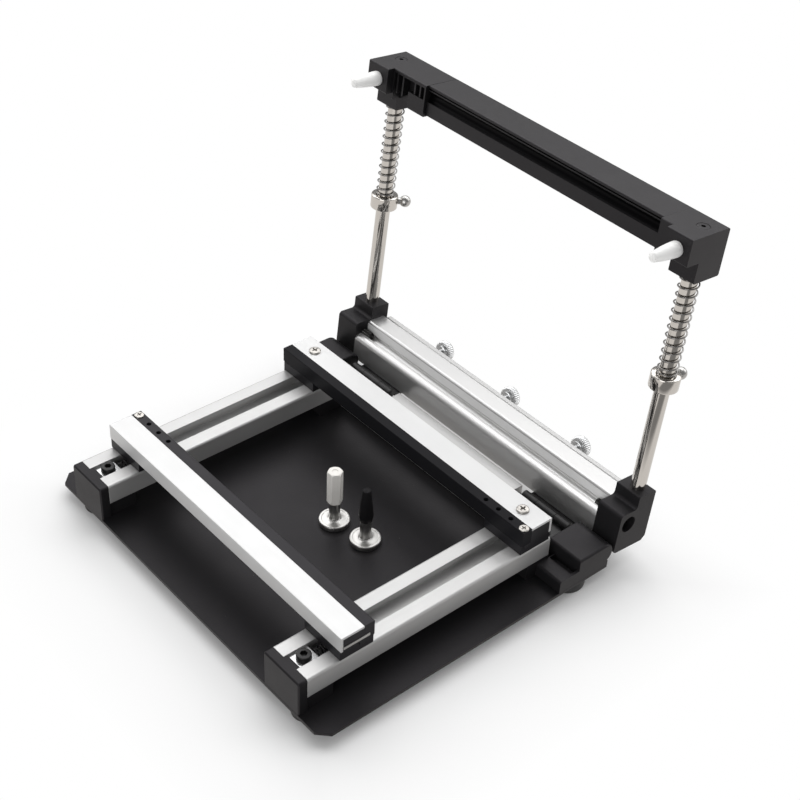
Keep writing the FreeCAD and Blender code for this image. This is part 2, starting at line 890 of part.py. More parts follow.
def end_block(side):
    """Black end block with a tower that takes the rod."""
    body = along_x([(0, 0, block_edge), (0, block_height, block_edge),
                    (tower_start, block_height, tower_fillet),
                    (tower_start, tower_height, light_edge), (block_depth, tower_height, light_edge),
                    (block_depth, block_chamfer, 0), (block_depth - block_chamfer, 0, 0)],
                   beam_half, block_out)
    rod_hole = round_bar(rod_dia, point(rod_x, rod_w, rod_seat), point(rod_x, rod_w, tower_height))
    screw_hole = round_bar(block_screw_dia, point(beam_half, channel_w, channel_v),
                           point(block_out, channel_w, channel_v))
    recess = round_bar(block_recess_dia, point(block_out - block_recess_deep, channel_w, channel_v),
                       point(block_out, channel_w, channel_v))
    set_hole = round_bar(rod_set_dia, point(rod_x, rod_w, rod_set_v), point(rod_x, block_depth, rod_set_v))
    body = body.cut(fused([screw_hole, recess])).cut(rod_hole).cut(set_hole)
    return on_side(body, side)


def end_block_screws():
    """Socket screws through the end blocks into the beam's channel."""
    screws = []
    for side in (left, right):
        seat = point(block_out - block_recess_deep, channel_w, channel_v)
        head = round_bar(block_screw_head, seat, seat + x_axis * block_screw_head_high)
        shank = round_bar(block_screw_dia, seat, seat - x_axis * block_screw_length)
        screw = fused([head, shank])
        screw = screw.cut(hex_socket(block_screw_socket, block_screw_socket_deep,
                                     seat + x_axis * block_screw_head_high, x_axis))
        screws.append(on_side(screw, side))
    return Part.makeCompound(screws)


def rod(side):
    body = round_bar(rod_dia, point(rod_x, rod_w, rod_seat), point(rod_x, rod_w, rod_top))
    rim = [edge for edge in body.Edges if edge.Closed and edge.CenterOfMass.z > rod_top - 1e-6]
    body = body.makeChamfer(rod_bevel, rim)
    thread = round_bar(retainer_dia, point(rod_x, rod_w, rod_top - retainer_thread),
                       point(rod_x, rod_w, rod_top))
    return on_side(body.cut(thread), side)


def rod_set_screws():
    screws = []
    for side in (left, right):
        mouth = point(rod_x, block_depth, rod_set_v)
        body = round_bar(rod_set_dia, point(rod_x, rod_w + rod_dia / 2, rod_set_v), mouth)
        body = body.cut(hex_socket(rod_set_socket, rod_set_socket_deep, mouth, y_axis))
        screws.append(on_side(body, side))
    return Part.makeCompound(screws)


def rod_retainers():
    """Screws in the rods' ends that keep the tension bar on."""
    screws = []
    for side in (left, right):
        seat = point(rod_x, rod_w, tension_top - retainer_head_high)
        length = seat.z - rod_top + retainer_thread
        screw = pan_screw(retainer_head, retainer_head_high, retainer_dia, length, seat, z_axis)
        screw = screw.cut(hex_socket(retainer_socket, retainer_socket_deep,
                                     seat + z_axis * retainer_head_high, z_axis))
        screws.append(on_side(screw, side))
    return Part.makeCompound(screws)


# Stencil clamp

def thumb_places():
    return [-thumb_spacing, 0.0, thumb_spacing]


def stencil_clamp_strip():
    """Flat strip that the thumb screws press on the stencil behind the beam."""
    front = beam_depth + strip_gap
    rear = front + strip_thick
    top = strip_base + strip_height
    strip = along_x([(front, strip_base, 0), (front, top - strip_lip, 0), (front + strip_lip, top, 0),
                     (rear, top, light_edge), (rear, strip_base, light_edge)], -strip_half, strip_half)
    for x in thumb_places():
        strip = strip.cut(round_bar(thumb_dia + 2 * spring_gap, point(x, front, thumb_v),
                                    point(x, rear, thumb_v)))
    return strip


def thumb_screw(x):
    """Screw with a ridged head and a plain collar below it."""
    head_start = beam_depth + thumb_head_start
    grip_start = head_start + thumb_collar_long
    shank = round_bar(thumb_dia, point(x, thumb_depth + thumb_tip_gap, thumb_v),
                      point(x, head_start, thumb_v))
    collar = round_bar(thumb_collar_dia, point(x, head_start, thumb_v), point(x, grip_start, thumb_v))
    grip_end = head_start + thumb_head_long
    outline = []
    for i in range(2 * thumb_ridges):
        reach = thumb_head_dia / 2 - (i % 2) * thumb_ridge_deep
        angle = math.pi * i / thumb_ridges
        outline.append((x + reach * math.cos(angle), thumb_v + reach * math.sin(angle), 0))
    grip = along_y(outline, grip_start, grip_end)
    bevel = cone_bar(thumb_head_dia + 2 * thumb_bevel, thumb_head_dia - 2 * thumb_bevel,
                     point(x, grip_start, thumb_v), point(x, grip_end, thumb_v))
    return fused([shank, collar, grip.common(bevel)])


# Collars on the rods

def collar_screw_line(side):
    """Start on the rod's axis and direction of a collar's thumb screw."""
    turn = math.radians(collar_left_turn) if side == left else 0.0
    start = point(side * rod_x, rod_w, collar_v)
    return start, point(math.sin(turn), math.cos(turn), 0)


def collar(side):
    low = point(side * rod_x, rod_w, collar_v - collar_high / 2)
    high = point(side * rod_x, rod_w, collar_v + collar_high / 2)
    body = round_bar(collar_dia, low, high)
    rims = [edge for edge in body.Edges if edge.Closed]
    body = body.makeChamfer(collar_bevel, rims)
    body = body.cut(round_bar(rod_dia + 2 * pin_gap, low, high))
    start, way = collar_screw_line(side)
    return body.cut(round_bar(collar_screw_dia + 2 * thread_gap, start, start + way * collar_dia))


def collar_thumb_screw(side):
    start, way = collar_screw_line(side)
    tip = start + way * (rod_dia / 2 + collar_screw_tip_gap)
    centre = start + way * collar_screw_reach
    shank = round_bar(collar_screw_dia, tip, centre)
    neck = round_bar(collar_screw_neck, start + way * (collar_dia / 2 + slide_gap), centre)
    ball = Part.makeSphere(collar_screw_ball / 2, centre)
    return fused([shank, neck, ball])


def rod_spring(side):
    low = collar_v + collar_high / 2 + spring_gap / 2
    high = tension_v - spring_gap / 2
    spring = coil(spring_dia, spring_wire, spring_turns, point(rod_x, rod_w, low), z_axis, high - low)
    return on_side(spring, side)


# Tension bar

def sleeve_end(side):
    """Where a bar end's sleeve ends; the left one is the longer."""
    if side == left:
        return tension_end_inner - left_sleeve
    return tension_end_inner - right_sleeve


def tension_bar():
    """Black extrusion with a line below its top edge and a hollow channel along its front."""
    top = tension_top
    low = tension_v + bar_drop
    line = top - bar_lip_high
    x0 = -sleeve_end(left)
    x1 = sleeve_end(right)
    body = along_x([(bar_front, low, light_edge), (bar_front, top, light_edge), (tension_rear, top, bar_edge),
                    (tension_rear, low, bar_edge)], x0, x1)
    body = body.cut(block(x0, x1, bar_front, bar_front + bar_line_deep, line, line - bar_line_wide))
    middle = (bar_channel_top + bar_channel_low) / 2
    half = (bar_channel_low - bar_channel_top) / 2
    back = math.sqrt(bar_channel_radius ** 2 - half ** 2)
    channel = round_bar(2 * bar_channel_radius, point(x0, bar_front - back, top - middle),
                        point(x1, bar_front - back, top - middle))
    reach = tension_end_inner + core_past
    core = block(-reach, reach, core_front, core_rear, tension_v + core_drop, top - core_head)
    return fused([body.cut(channel), core])


def with_pockets(body, start):
    """The longer sleeve, open in front: pockets between thin ribs, some above a closed box."""
    back = sleeve_front + pocket_deep
    high = tension_top - pocket_lip
    box_top = tension_v + pocket_box_top
    box_end = start + pocket_box_long
    above = block(start + pocket_wall, box_end, sleeve_front - overrun, back, box_top, high)
    beside = block(box_end, tension_end_inner - pocket_wall, sleeve_front - overrun, back, tension_v, high)
    body = body.cut(fused([above, beside]))
    ribs = []
    for run in pocket_ribs:
        low = box_top if run < pocket_box_long else tension_v + pocket_rib_low
        ribs.append(block(start + run, start + run + pocket_wall, sleeve_front + pocket_rib_inset, back, low,
                          high))
    return fused([body] + ribs)


def bar_end(side):
    """Moulded end of the tension bar: a stepped block on the rod and a sleeve round the bar's core."""
    top = tension_top
    outer = along_x([(tension_low_front, tension_v, light_edge),
                     (tension_low_front, tension_v + tension_step, 0),
                     (tension_front, tension_v + tension_step, light_edge), (tension_front, top, light_edge),
                     (tension_rear, top, bar_edge), (tension_rear, tension_v, bar_edge)],
                    tension_end_inner, tension_half)
    start = sleeve_end(side)
    sleeve = along_x([(sleeve_front, tension_v + sleeve_drop, light_edge), (sleeve_front, top, light_edge),
                      (tension_rear, top, bar_edge), (tension_rear, tension_v + sleeve_drop, bar_edge)],
                     start, tension_end_inner)
    body = fused([outer, sleeve])
    if side == left:
        body = with_pockets(body, start)
    body = body.cut(block(start, tension_end_inner + core_past, core_front, core_rear,
                          tension_v + core_drop, top - core_head))
    rod_hole = round_bar(rod_dia + 2 * pin_gap, point(rod_x, rod_w, tension_v),
                         point(rod_x, rod_w, rod_top + rod_top_gap))
    screw_hole = round_bar(retainer_dia + 2 * slide_gap, point(rod_x, rod_w, tension_v),
                           point(rod_x, rod_w, top))
    head_hole = round_bar(retainer_head + 2 * retainer_side_gap,
                          point(rod_x, rod_w, top - retainer_head_high - slide_gap), point(rod_x, rod_w, top))
    peg_hole = round_bar(peg_stem_dia, point(peg_x, tension_front, top - peg_drop),
                         point(peg_x, tension_front + peg_stem_long, top - peg_drop))
    body = body.cut(rod_hole).cut(screw_hole).cut(head_hole).cut(peg_hole)
    return on_side(body, side)


def bar_pegs():
    """White nylon pegs that swell from a blunt rounded tip to the foot."""
    z = tension_top - peg_drop
    swell = peg_dia - peg_tip_dia
    body_long = peg_long - peg_tip_long
    rings = []
    for i in range(peg_rings + 1):
        share = i / peg_rings
        rings.append((body_long * share, peg_tip_dia + swell * (1 - share ** peg_curve)))
    rings.append((peg_long, peg_tip_end))
    parts = [round_bar(peg_stem_dia, point(peg_x, tension_front + peg_stem_long, z),
                       point(peg_x, tension_front, z))]
    for (run, dia), (next_run, next_dia) in zip(rings, rings[1:]):
        parts.append(cone_bar(dia, next_dia, point(peg_x, tension_front - run, z),
                              point(peg_x, tension_front - next_run, z)))
    peg = fused(parts)
    return Part.makeCompound([peg, mirrored(peg)])


# Support pillars

def pillar_base(x, y):
    """Magnet disc with a stud that carries the cap."""
    low = plate_top + pillar_gap
    disc = round_bar(pillar_dia, point(x, y, low), point(x, y, low + pillar_disc_high))
    rims = [edge for edge in disc.Edges if edge.Closed and edge.CenterOfMass.z > low + pillar_lip]
    disc = disc.makeChamfer(pillar_lip, rims)
    cap_low = low + pillar_top - pillar_cap_high
    stud = round_bar(pillar_stem_dia, point(x, y, low), point(x, y, cap_low))
    thread = round_bar(stud_dia, point(x, y, low), point(x, y, cap_low + stud_inside))
    return fused([disc, stud, thread])


def cap_bore(x, y, cap_low):
    return round_bar(stud_dia, point(x, y, cap_low), point(x, y, cap_low + stud_inside))


def hex_pillar_cap():
    top = plate_top + pillar_gap + pillar_top
    low = top - pillar_cap_high
    radius = hex_across / math.sqrt(3)
    corners = [(hex_x + radius * math.cos(math.radians(60 * i)),
                hex_y + radius * math.sin(math.radians(60 * i)), 0) for i in range(6)]
    body = along_z(corners, low, top)
    bevel = cone_bar(2 * radius + 2 * pillar_cap_high, 2 * (radius - hex_bevel),
                     point(hex_x, hex_y, low), point(hex_x, hex_y, top))
    return body.common(bevel).cut(cap_bore(hex_x, hex_y, low))


def cone_pillar_cap():
    top = plate_top + pillar_gap + pillar_top
    low = top - pillar_cap_high
    wide = top - cone_wide_drop
    lower = cone_bar(cone_foot_dia, cone_wide_dia, point(cone_x, cone_y, low), point(cone_x, cone_y, wide))
    upper = cone_bar(cone_wide_dia, cone_top_dia, point(cone_x, cone_y, wide), point(cone_x, cone_y, top))
    return fused([lower, upper]).cut(cap_bore(cone_x, cone_y, low))


# Assembly

def sides(name, make):
    return {name + "_left": make(left), name + "_right": make(right)}


def base_pieces():
    pieces = {"base_plate": base_plate(), "rubber_feet": rubber_feet(), "plate_screws": plate_screws(),
              "rear_crossmember": rear_crossmember(), "hinge_pins": hinge_pins(),
              "hinge_base_screws": hinge_base_screws()}
    pieces.update(sides("rail", rail))
    pieces.update(sides("front_cap", front_cap))
    pieces.update(sides("corner_block", corner_block))
    pieces.update(sides("hinge_base_leaf", hinge_base_leaf))
    return pieces


def clamp_pieces():
    rear_core = drilled_for_bar_screws(clamp_core(rail_top, False))
    rear_cover = drilled_for_bar_screws(clamp_cover())
    pieces = {"rear_bar_core": as_rear(rear_core), "rear_bar_cover": as_rear(rear_cover),
              "rear_bar_strip": as_rear(clamp_strip()), "rear_strip_screw": as_rear(strip_screw()),
              "rear_bar_screws": rear_bar_screws(), "rear_slot_nuts": rear_slot_nuts(),
              "front_bar_core": as_front(clamp_core(rail_top + slide_gap, True)),
              "front_bar_cover": as_front(clamp_cover()), "front_bar_strip": as_front(clamp_strip()),
              "front_strip_screw": as_front(strip_screw()), "front_bar_band": front_end_band()}
    pieces.update(sides("stop_block", stop_block))
    pieces.update(sides("stop_screw", stop_screw))
    pieces.update(sides("slot_spring", slot_spring))
    return pieces


def frame_pieces():
    pieces = {"frame_beam": frame_beam(), "end_block_screws": end_block_screws(),
              "rod_set_screws": rod_set_screws(), "rod_retainers": rod_retainers(),
              "hinge_frame_screws": hinge_frame_screws(), "stencil_clamp_strip": stencil_clamp_strip(),
              "tension_bar": tension_bar(), "bar_pegs": bar_pegs()}
    for name, x in zip(("left", "middle", "right"), thumb_places()):
        pieces["thumb_screw_" + name] = thumb_screw(x)
    for name, make in (("hinge_frame_leaf", hinge_frame_leaf), ("end_block", end_block), ("rod", rod),
                       ("collar", collar), ("collar_thumb_screw", collar_thumb_screw),
                       ("rod_spring", rod_spring), ("bar_end", bar_end)):
        pieces.update(sides(name, make))
    return {name: leaned(shape) for name, shape in pieces.items()}


def pillar_pieces():
    return {"hex_pillar_base": pillar_base(hex_x, hex_y), "hex_pillar_cap": hex_pillar_cap(),
            "cone_pillar_base": pillar_base(cone_x, cone_y), "cone_pillar_cap": cone_pillar_cap()}


def all_pieces():
    pieces = {}
    for group in (base_pieces(), clamp_pieces(), frame_pieces(), pillar_pieces()):
        pieces.update(group)
    return pieces


os.makedirs("parts", exist_ok=True)
for node, shape in all_pieces().items():
    centred = shape.copy()
    centred.translate(point(0, -centre_y, 0))
    centred.exportStep("parts/" + node + ".step")
    print(node, len(centred.Solids), round(centred.Volume, 2), centred.isValid())
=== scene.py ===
import json
import math

import bmesh
import bpy
from mathutils import Matrix, Vector

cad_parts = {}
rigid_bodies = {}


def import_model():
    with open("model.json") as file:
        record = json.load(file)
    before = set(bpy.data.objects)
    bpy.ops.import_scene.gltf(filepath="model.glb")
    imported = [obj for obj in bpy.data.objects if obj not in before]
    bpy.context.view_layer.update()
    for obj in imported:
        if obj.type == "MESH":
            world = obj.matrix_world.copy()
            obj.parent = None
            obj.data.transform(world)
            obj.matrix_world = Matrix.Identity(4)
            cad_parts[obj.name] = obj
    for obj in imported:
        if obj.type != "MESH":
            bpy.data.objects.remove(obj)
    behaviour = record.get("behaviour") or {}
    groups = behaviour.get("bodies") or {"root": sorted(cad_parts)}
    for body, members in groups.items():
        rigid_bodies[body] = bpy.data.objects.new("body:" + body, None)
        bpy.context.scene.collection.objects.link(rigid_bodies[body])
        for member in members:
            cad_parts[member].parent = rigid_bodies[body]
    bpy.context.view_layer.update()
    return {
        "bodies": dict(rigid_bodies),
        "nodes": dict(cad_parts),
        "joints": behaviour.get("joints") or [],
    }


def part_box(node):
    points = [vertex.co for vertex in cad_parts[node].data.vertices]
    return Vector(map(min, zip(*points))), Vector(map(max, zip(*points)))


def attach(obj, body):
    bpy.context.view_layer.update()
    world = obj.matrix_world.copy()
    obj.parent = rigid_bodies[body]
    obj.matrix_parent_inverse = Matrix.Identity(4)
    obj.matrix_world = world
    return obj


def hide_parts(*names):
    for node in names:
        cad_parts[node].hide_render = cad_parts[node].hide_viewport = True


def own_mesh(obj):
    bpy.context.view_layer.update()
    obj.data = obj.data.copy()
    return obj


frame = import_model()
print("frame loaded with", len(frame["nodes"]), "nodes")

mm = 0.001
fullTurn = 2 * math.pi
joints = {joint["name"]: joint for joint in frame["joints"]}
bothSides = (-1, 1)
namedSides = ((-1, "left"), (1, "right"))


# Wrapped sockets, so that node maths reads as plain expressions

class Value:
    def __init__(self, graph, socket):
        self.graph = graph
        self.socket = socket

    def maths(self, operation, *others):
        return self.graph.add("ShaderNodeMath", {"operation": operation}, [self, *others])

    def __add__(self, other):
        return self.maths("ADD", other)

    def __radd__(self, other):
        return self.maths("ADD", other)

    def __sub__(self, other):
        return self.maths("SUBTRACT", other)

    def __rsub__(self, other):
        return self.graph.add("ShaderNodeMath", {"operation": "SUBTRACT"}, [other, self])

    def __mul__(self, other):
        return self.maths("MULTIPLY", other)

    def __truediv__(self, other):
        return self.maths("DIVIDE", other)

    def __pow__(self, other):
        return self.maths("POWER", other)


class Graph:
    def __init__(self, tree):
        self.tree = tree

    def feed(self, socket, value):
        if isinstance(value, Value):
            self.tree.links.new(value.socket, socket)
        elif value is not None:
            socket.default_value = value

    def add(self, kind, settings=None, values=(), output=0):
        node = self.tree.nodes.new(kind)
        for name, setting in (settings or {}).items():
            if name == "stops":  # a colour ramp's stops as (place, grey); a new ramp has two of its own
                ramp = node.color_ramp
                for place, grey in setting[2:]:
                    ramp.elements.new(place)
                for element, (place, grey) in zip(ramp.elements, sorted(setting)):
                    element.position = place
                    element.color = (grey, grey, grey, 1)
            else:
                setattr(node, name, setting)
        pairs = values.items() if isinstance(values, dict) else enumerate(values)
        for place, value in pairs:
            self.feed(node.inputs[place], value)
        return Value(self, node.outputs[output])

    def mixed(self, factor, first, second):
        return self.add("ShaderNodeMix", {"data_type": "RGBA"}, {0: factor, 6: first, 7: second}, 2)


# Finishes

def rgb(red, green, blue):
    return (red, green, blue, 1.0)


plainFinish = {"cloud": 0.06, "cloudSize": 28.0, "grain": 0.0, "grainSize": 2600.0, "streak": 0.0,
               "along": None, "streakSize": 1500.0, "dust": 0.0, "metal": 0.0, "rough": 0.5, "coat": 0.0,
               "roughSwing": 0.06, "shine": 0.5, "tint": rgb(1.0, 1.0, 1.0)}
finishDetail = {"cloudLayers": 4.0, "fineLayers": 2.0, "roughCloud": 3.1, "lineRoughness": 0.7,
                "streakRough": 1.6, "streakHeight": 4.0, "speckSize": 420.0, "speckEdge": 0.1,
                "patchSize": 60.0, "patchFrom": 0.52, "patchTo": 0.75,
                "dustColour": rgb(0.35, 0.34, 0.33), "dustRough": 0.3, "smoothest": 0.04,
                "coatRough": 0.2, "bump": 0.35, "bumpDepth": 0.00012}
blackTint = rgb(1.0, 0.94, 1.0)
stretch = {"x": (0.012, 1.0, 1.0), "y": (1.0, 0.012, 1.0), "z": (1.0, 1.0, 0.012)}


def makeFinish(name, look):
    look = {**plainFinish, **look}
    material = bpy.data.materials.new(name)
    material.use_nodes = True
    graph = Graph(material.node_tree)
    surface = material.node_tree.nodes["Principled BSDF"]
    at = graph.add("ShaderNodeTexCoord", output="Object")

    def noise(size, layers=3.0, scale=None, rough=0.55):
        where = at
        if scale:
            where = graph.add("ShaderNodeMapping", {}, {"Vector": at, "Scale": scale})
        return graph.add("ShaderNodeTexNoise", {}, {"Vector": where, "Scale": size, "Detail": layers,
                                                    "Roughness": rough})

    def ramp(value, *stops):
        return graph.add("ShaderNodeValToRGB", {"stops": stops}, [value])

    detail = finishDetail
    cloud = noise(look["cloudSize"], detail["cloudLayers"])
    shade = (cloud - 0.5) * 2.0 * look["cloud"]
    uneven = noise(look["cloudSize"] * detail["roughCloud"])
    rough = look["rough"] + (uneven - 0.5) * 2.0 * look["roughSwing"]
    height = None
    if look["streak"]:
        lines = noise(look["streakSize"], detail["fineLayers"], stretch[look["along"]],
                      detail["lineRoughness"])
        shade = shade + (lines - 0.5) * look["streak"]
        rough = rough + (lines - 0.5) * look["streak"] * detail["streakRough"]
        height = lines * look["streak"] * detail["streakHeight"]
    if look["grain"]:
        grain = noise(look["grainSize"], detail["fineLayers"]) * look["grain"]
        height = grain if height is None else height + grain
    light = (shade + 0.5).maths("MINIMUM", 1.0).maths("MAXIMUM", 0.0)
    colour = graph.mixed(light, look["dark"], look["light"])
    if look["dust"]:
        specks = graph.add("ShaderNodeTexVoronoi", {}, {"Vector": at, "Scale": detail["speckSize"],
                                                        "Randomness": 1.0})
        patch = ramp(noise(detail["patchSize"]), (detail["patchFrom"], 0.0), (detail["patchTo"], 1.0))
        dust = ramp(specks, (0.0, 1.0), (detail["speckEdge"], 0.0)) * patch * look["dust"]
        colour = graph.mixed(dust, colour, detail["dustColour"])
        rough = rough + dust * detail["dustRough"]
    graph.feed(surface.inputs["Base Color"], colour)
    graph.feed(surface.inputs["Roughness"], rough.maths("MAXIMUM", detail["smoothest"]))
    surface.inputs["Metallic"].default_value = look["metal"]
    surface.inputs["Specular IOR Level"].default_value = look["shine"]
    surface.inputs["Specular Tint"].default_value = look["tint"]
    if look["coat"]:
        surface.inputs["Coat Weight"].default_value = look["coat"]
        surface.inputs["Coat Roughness"].default_value = detail["coatRough"]
    if height is not None:
        bump = graph.add("ShaderNodeBump", {}, {"Strength": detail["bump"], "Distance": detail["bumpDepth"],
                                                "Height": height})
        graph.feed(surface.inputs["Normal"], bump)
    return material


powderCoat = {"dark": rgb(0.006, 0.006, 0.0065), "light": rgb(0.012, 0.0115, 0.0125), "rough": 0.42,
              "grain": 0.8, "grainSize": 1300.0, "shine": 0.19, "tint": blackTint, "dust": 0.3,
              "cloud": 0.25}
mouldedBlack = {"dark": rgb(0.0065, 0.0065, 0.007), "light": rgb(0.014, 0.0135, 0.0145), "rough": 0.46,
                "grain": 0.9, "grainSize": 2400.0, "shine": 0.22, "tint": blackTint, "dust": 0.12,
                "cloud": 0.22}
# eased edges of moulded black get a lighter black than the faces: partly wear, partly painted highlight
mouldedWornHighlightEdge = {**mouldedBlack, "dark": rgb(0.013, 0.013, 0.0135), "light": rgb(0.024, 0.024, 0.0245),
               "rough": 0.42}
barBlack = {**mouldedBlack, "dark": rgb(0.0045, 0.0045, 0.005), "light": rgb(0.0105, 0.0105, 0.011),
            "shine": 0.33, "metal": 0.06, "grain": 0.5, "rough": 0.42}
anodisedBlack = {"dark": rgb(0.007, 0.007, 0.008), "light": rgb(0.016, 0.016, 0.018), "rough": 0.4,
                 "tint": blackTint, "streak": 0.1, "along": "x", "dust": 0.08, "cloud": 0.15}
aluminium = {"dark": rgb(0.46, 0.455, 0.45), "light": rgb(0.59, 0.59, 0.59), "rough": 0.46, "metal": 0.7,
             "streak": 0.09, "along": "x", "cloud": 0.06}
# eased edges of aluminium get a lighter colour: partly wear, partly painted highlight
aluminiumWornHighlightEdge = {**aluminium, "dark": rgb(0.62, 0.62, 0.62), "light": rgb(0.76, 0.76, 0.76), "rough": 0.38}
zinc = {"dark": rgb(0.40, 0.395, 0.385), "light": rgb(0.60, 0.59, 0.575), "rough": 0.32, "metal": 1.0,
        "grain": 0.25, "grainSize": 3000.0, "cloud": 0.3, "cloudSize": 160.0}
oxide = {"dark": rgb(0.010, 0.010, 0.011), "light": rgb(0.028, 0.027, 0.027), "rough": 0.36, "metal": 0.5,
         "grain": 0.3, "grainSize": 3200.0, "cloud": 0.3, "cloudSize": 220.0}
nylon = {"dark": rgb(0.86, 0.855, 0.845), "light": rgb(0.94, 0.94, 0.93), "rough": 0.4, "coat": 0.1,
         "grain": 0.3, "grainSize": 1800.0, "cloud": 0.12}

looks = {
    "powderCoat": powderCoat,
    # eased edges of the powder coat: lighter, partly wear and partly painted highlight
    "powderWornHighlightEdge": {**mouldedWornHighlightEdge, "dust": 0.0},
    "mouldedBlack": mouldedBlack,
    "mouldedWornHighlightEdge": mouldedWornHighlightEdge,
    "softBlack": {**mouldedBlack, "shine": 0.08},
    "barBlack": barBlack,
    # painted shade: a darker black for the hollow along the tension bar's front
    "paintedShadeHollowBlack": {**barBlack, "dark": rgb(0.0008, 0.0008, 0.001), "light": rgb(0.002, 0.002, 0.0022),
                    "shine": 0.04, "metal": 0.0, "rough": 0.3, "dust": 0.05},
    "stripBlack": {**anodisedBlack, "shine": 0.22},
    "deepBlack": {**anodisedBlack, "shine": 0.06},
    # eased edges of anodised black: lighter, partly wear and partly painted highlight
    "anodisedWornHighlightEdge": {**anodisedBlack, "dark": rgb(0.018, 0.018, 0.020), "light": rgb(0.034, 0.034, 0.037),
                     "rough": 0.34, "metal": 0.2},
    "aluminiumX": aluminium,
    # aluminium eased edges along x and y: lighter, partly wear and partly painted highlight
    "aluminiumXWornHighlightEdge": aluminiumWornHighlightEdge,
    "aluminiumY": {**aluminium, "along": "y"},
    "aluminiumYWornHighlightEdge": {**aluminiumWornHighlightEdge, "along": "y"},
    "dullAluminium": {**aluminium, "dark": rgb(0.42, 0.415, 0.41), "light": rgb(0.53, 0.53, 0.53)},
    "beamAluminium": {**aluminium, "dark": rgb(0.55, 0.545, 0.54), "light": rgb(0.67, 0.67, 0.67),
                      "rough": 0.35, "metal": 0.85, "streak": 0.03},
    # painted light: a lighter, less metallic aluminium for the beam's upper wall
    "paintedLightWallAluminium": {**aluminium, "dark": rgb(0.83, 0.825, 0.82), "light": rgb(0.92, 0.92, 0.92),
                      "metal": 0.12, "streak": 0.03},
    "brushedCover": {**aluminium, "dark": rgb(0.585, 0.585, 0.585), "light": rgb(0.69, 0.69, 0.69),
                     "rough": 0.5, "metal": 0.6},
    "nickel": {"dark": rgb(0.52, 0.49, 0.455), "light": rgb(0.72, 0.695, 0.66), "rough": 0.1, "metal": 1.0,
               "roughSwing": 0.03, "cloud": 0.12, "streak": 0.04, "along": "z"},
    "zinc": zinc,
    "screwZinc": {**zinc, "dark": rgb(0.3, 0.285, 0.265), "light": rgb(0.55, 0.53, 0.505), "rough": 0.28},
    "brightZinc": {**zinc, "dark": rgb(0.55, 0.555, 0.56), "light": rgb(0.78, 0.785, 0.79), "rough": 0.25},
    "springSteel": {"dark": rgb(0.18, 0.175, 0.17), "light": rgb(0.36, 0.35, 0.34), "rough": 0.28,
                    "metal": 1.0, "cloud": 0.25, "cloudSize": 240.0},
    "oxide": oxide,
    # eased edges of black oxide: much lighter, partly wear and partly painted glints
    "oxideWornHighlightEdge": {**oxide, "dark": rgb(0.09, 0.088, 0.086), "light": rgb(0.22, 0.215, 0.21), "rough": 0.24,
                  "metal": 0.8},
    "darkThread": {**oxide, "dark": rgb(0.02, 0.02, 0.02), "light": rgb(0.06, 0.058, 0.056), "rough": 0.2,
                   "metal": 0.85},
    "nylon": nylon,
    "warmNylon": {**nylon, "dark": rgb(0.8, 0.775, 0.735), "light": rgb(0.88, 0.86, 0.825)},
    "rubber": {"dark": rgb(0.008, 0.008, 0.0085), "light": rgb(0.017, 0.017, 0.0175), "rough": 0.72,
               "grain": 1.0, "grainSize": 1500.0, "dust": 0.4, "cloud": 0.2},
}
finishes = {name: makeFinish(name, look) for name, look in looks.items()}
print("finishes made:", len(finishes))


# Adding pieces

def addPiece(name, mesh, body, finish, slotName, *nodes, edge=None):
    mesh.materials.clear()
    mesh.materials.append(finishes[finish])
    if edge:
        mesh.materials.append(finishes[edge])
    piece = bpy.data.objects.new(name, mesh)
    bpy.context.scene.collection.objects.link(piece)
    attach(piece, body)
    if nodes:
        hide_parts(*nodes)
    return piece


def bodyOf(node):
    # The moving body that a CAD node belongs to.
    return next(name for name, empty in frame["bodies"].items() if frame["nodes"][node].parent == empty)


dressing = {"mergeWithin": 0.000002, "flatWithin": 0.9, "sharpFrom": 24.0, "keepSharp": 50.0, "steps": 2,
            "profile": 0.5, "normalWeight": 100}
faceSlot, edgeSlot, paintedShadeAndLightSlot = 0, 1, 2


def dressed(node, width):
    # A copy of a CAD node with its flat facets joined and its edges eased. Eased faces have their own slot.
    work = bmesh.new()
    work.from_mesh(frame["nodes"][node].data)
    bmesh.ops.remove_doubles(work, verts=work.verts, dist=dressing["mergeWithin"])
    bmesh.ops.dissolve_limit(work, angle_limit=math.radians(dressing["flatWithin"]), verts=work.verts,
                             edges=work.edges)
    for face in work.faces:
        face.material_index = faceSlot
        face.smooth = True
    sharp = [edge for edge in work.edges if len(edge.link_faces) == 2
             and edge.calc_face_angle(0.0) > math.radians(dressing["sharpFrom"])]
    bmesh.ops.bevel(work, geom=sharp, offset=width * mm, offset_type="OFFSET", segments=dressing["steps"],
                    profile=dressing["profile"], affect="EDGES", clamp_overlap=True, material=edgeSlot)
    for face in work.faces:
        face.smooth = True
    mesh = bpy.data.meshes.new(node)
    work.to_mesh(mesh)
    work.free()
    mesh.set_sharp_from_angle(angle=math.radians(dressing["keepSharp"]))
    return withWeightedNormals(mesh)


def withWeightedNormals(mesh):
    # Large faces keep their shading flat up to the eased edges.
    holder = bpy.data.objects.new("holder", mesh)
    bpy.context.scene.collection.objects.link(holder)
    weighting = holder.modifiers.new("weighting", "WEIGHTED_NORMAL")
    weighting.keep_sharp = True
    weighting.weight = dressing["normalWeight"]
    return plainMesh(holder)


def plainMesh(holder):
    # The mesh that an object's modifiers make. The object itself goes.
    bpy.context.view_layer.update()
    seen = holder.evaluated_get(bpy.context.evaluated_depsgraph_get())
    mesh = bpy.data.meshes.new_from_object(seen)
    bpy.data.objects.remove(holder)
    return mesh


# Extruded, moulded and folded pieces take their shape from the CAD nodes

def pair(name):
    return [name + "_left", name + "_right"]


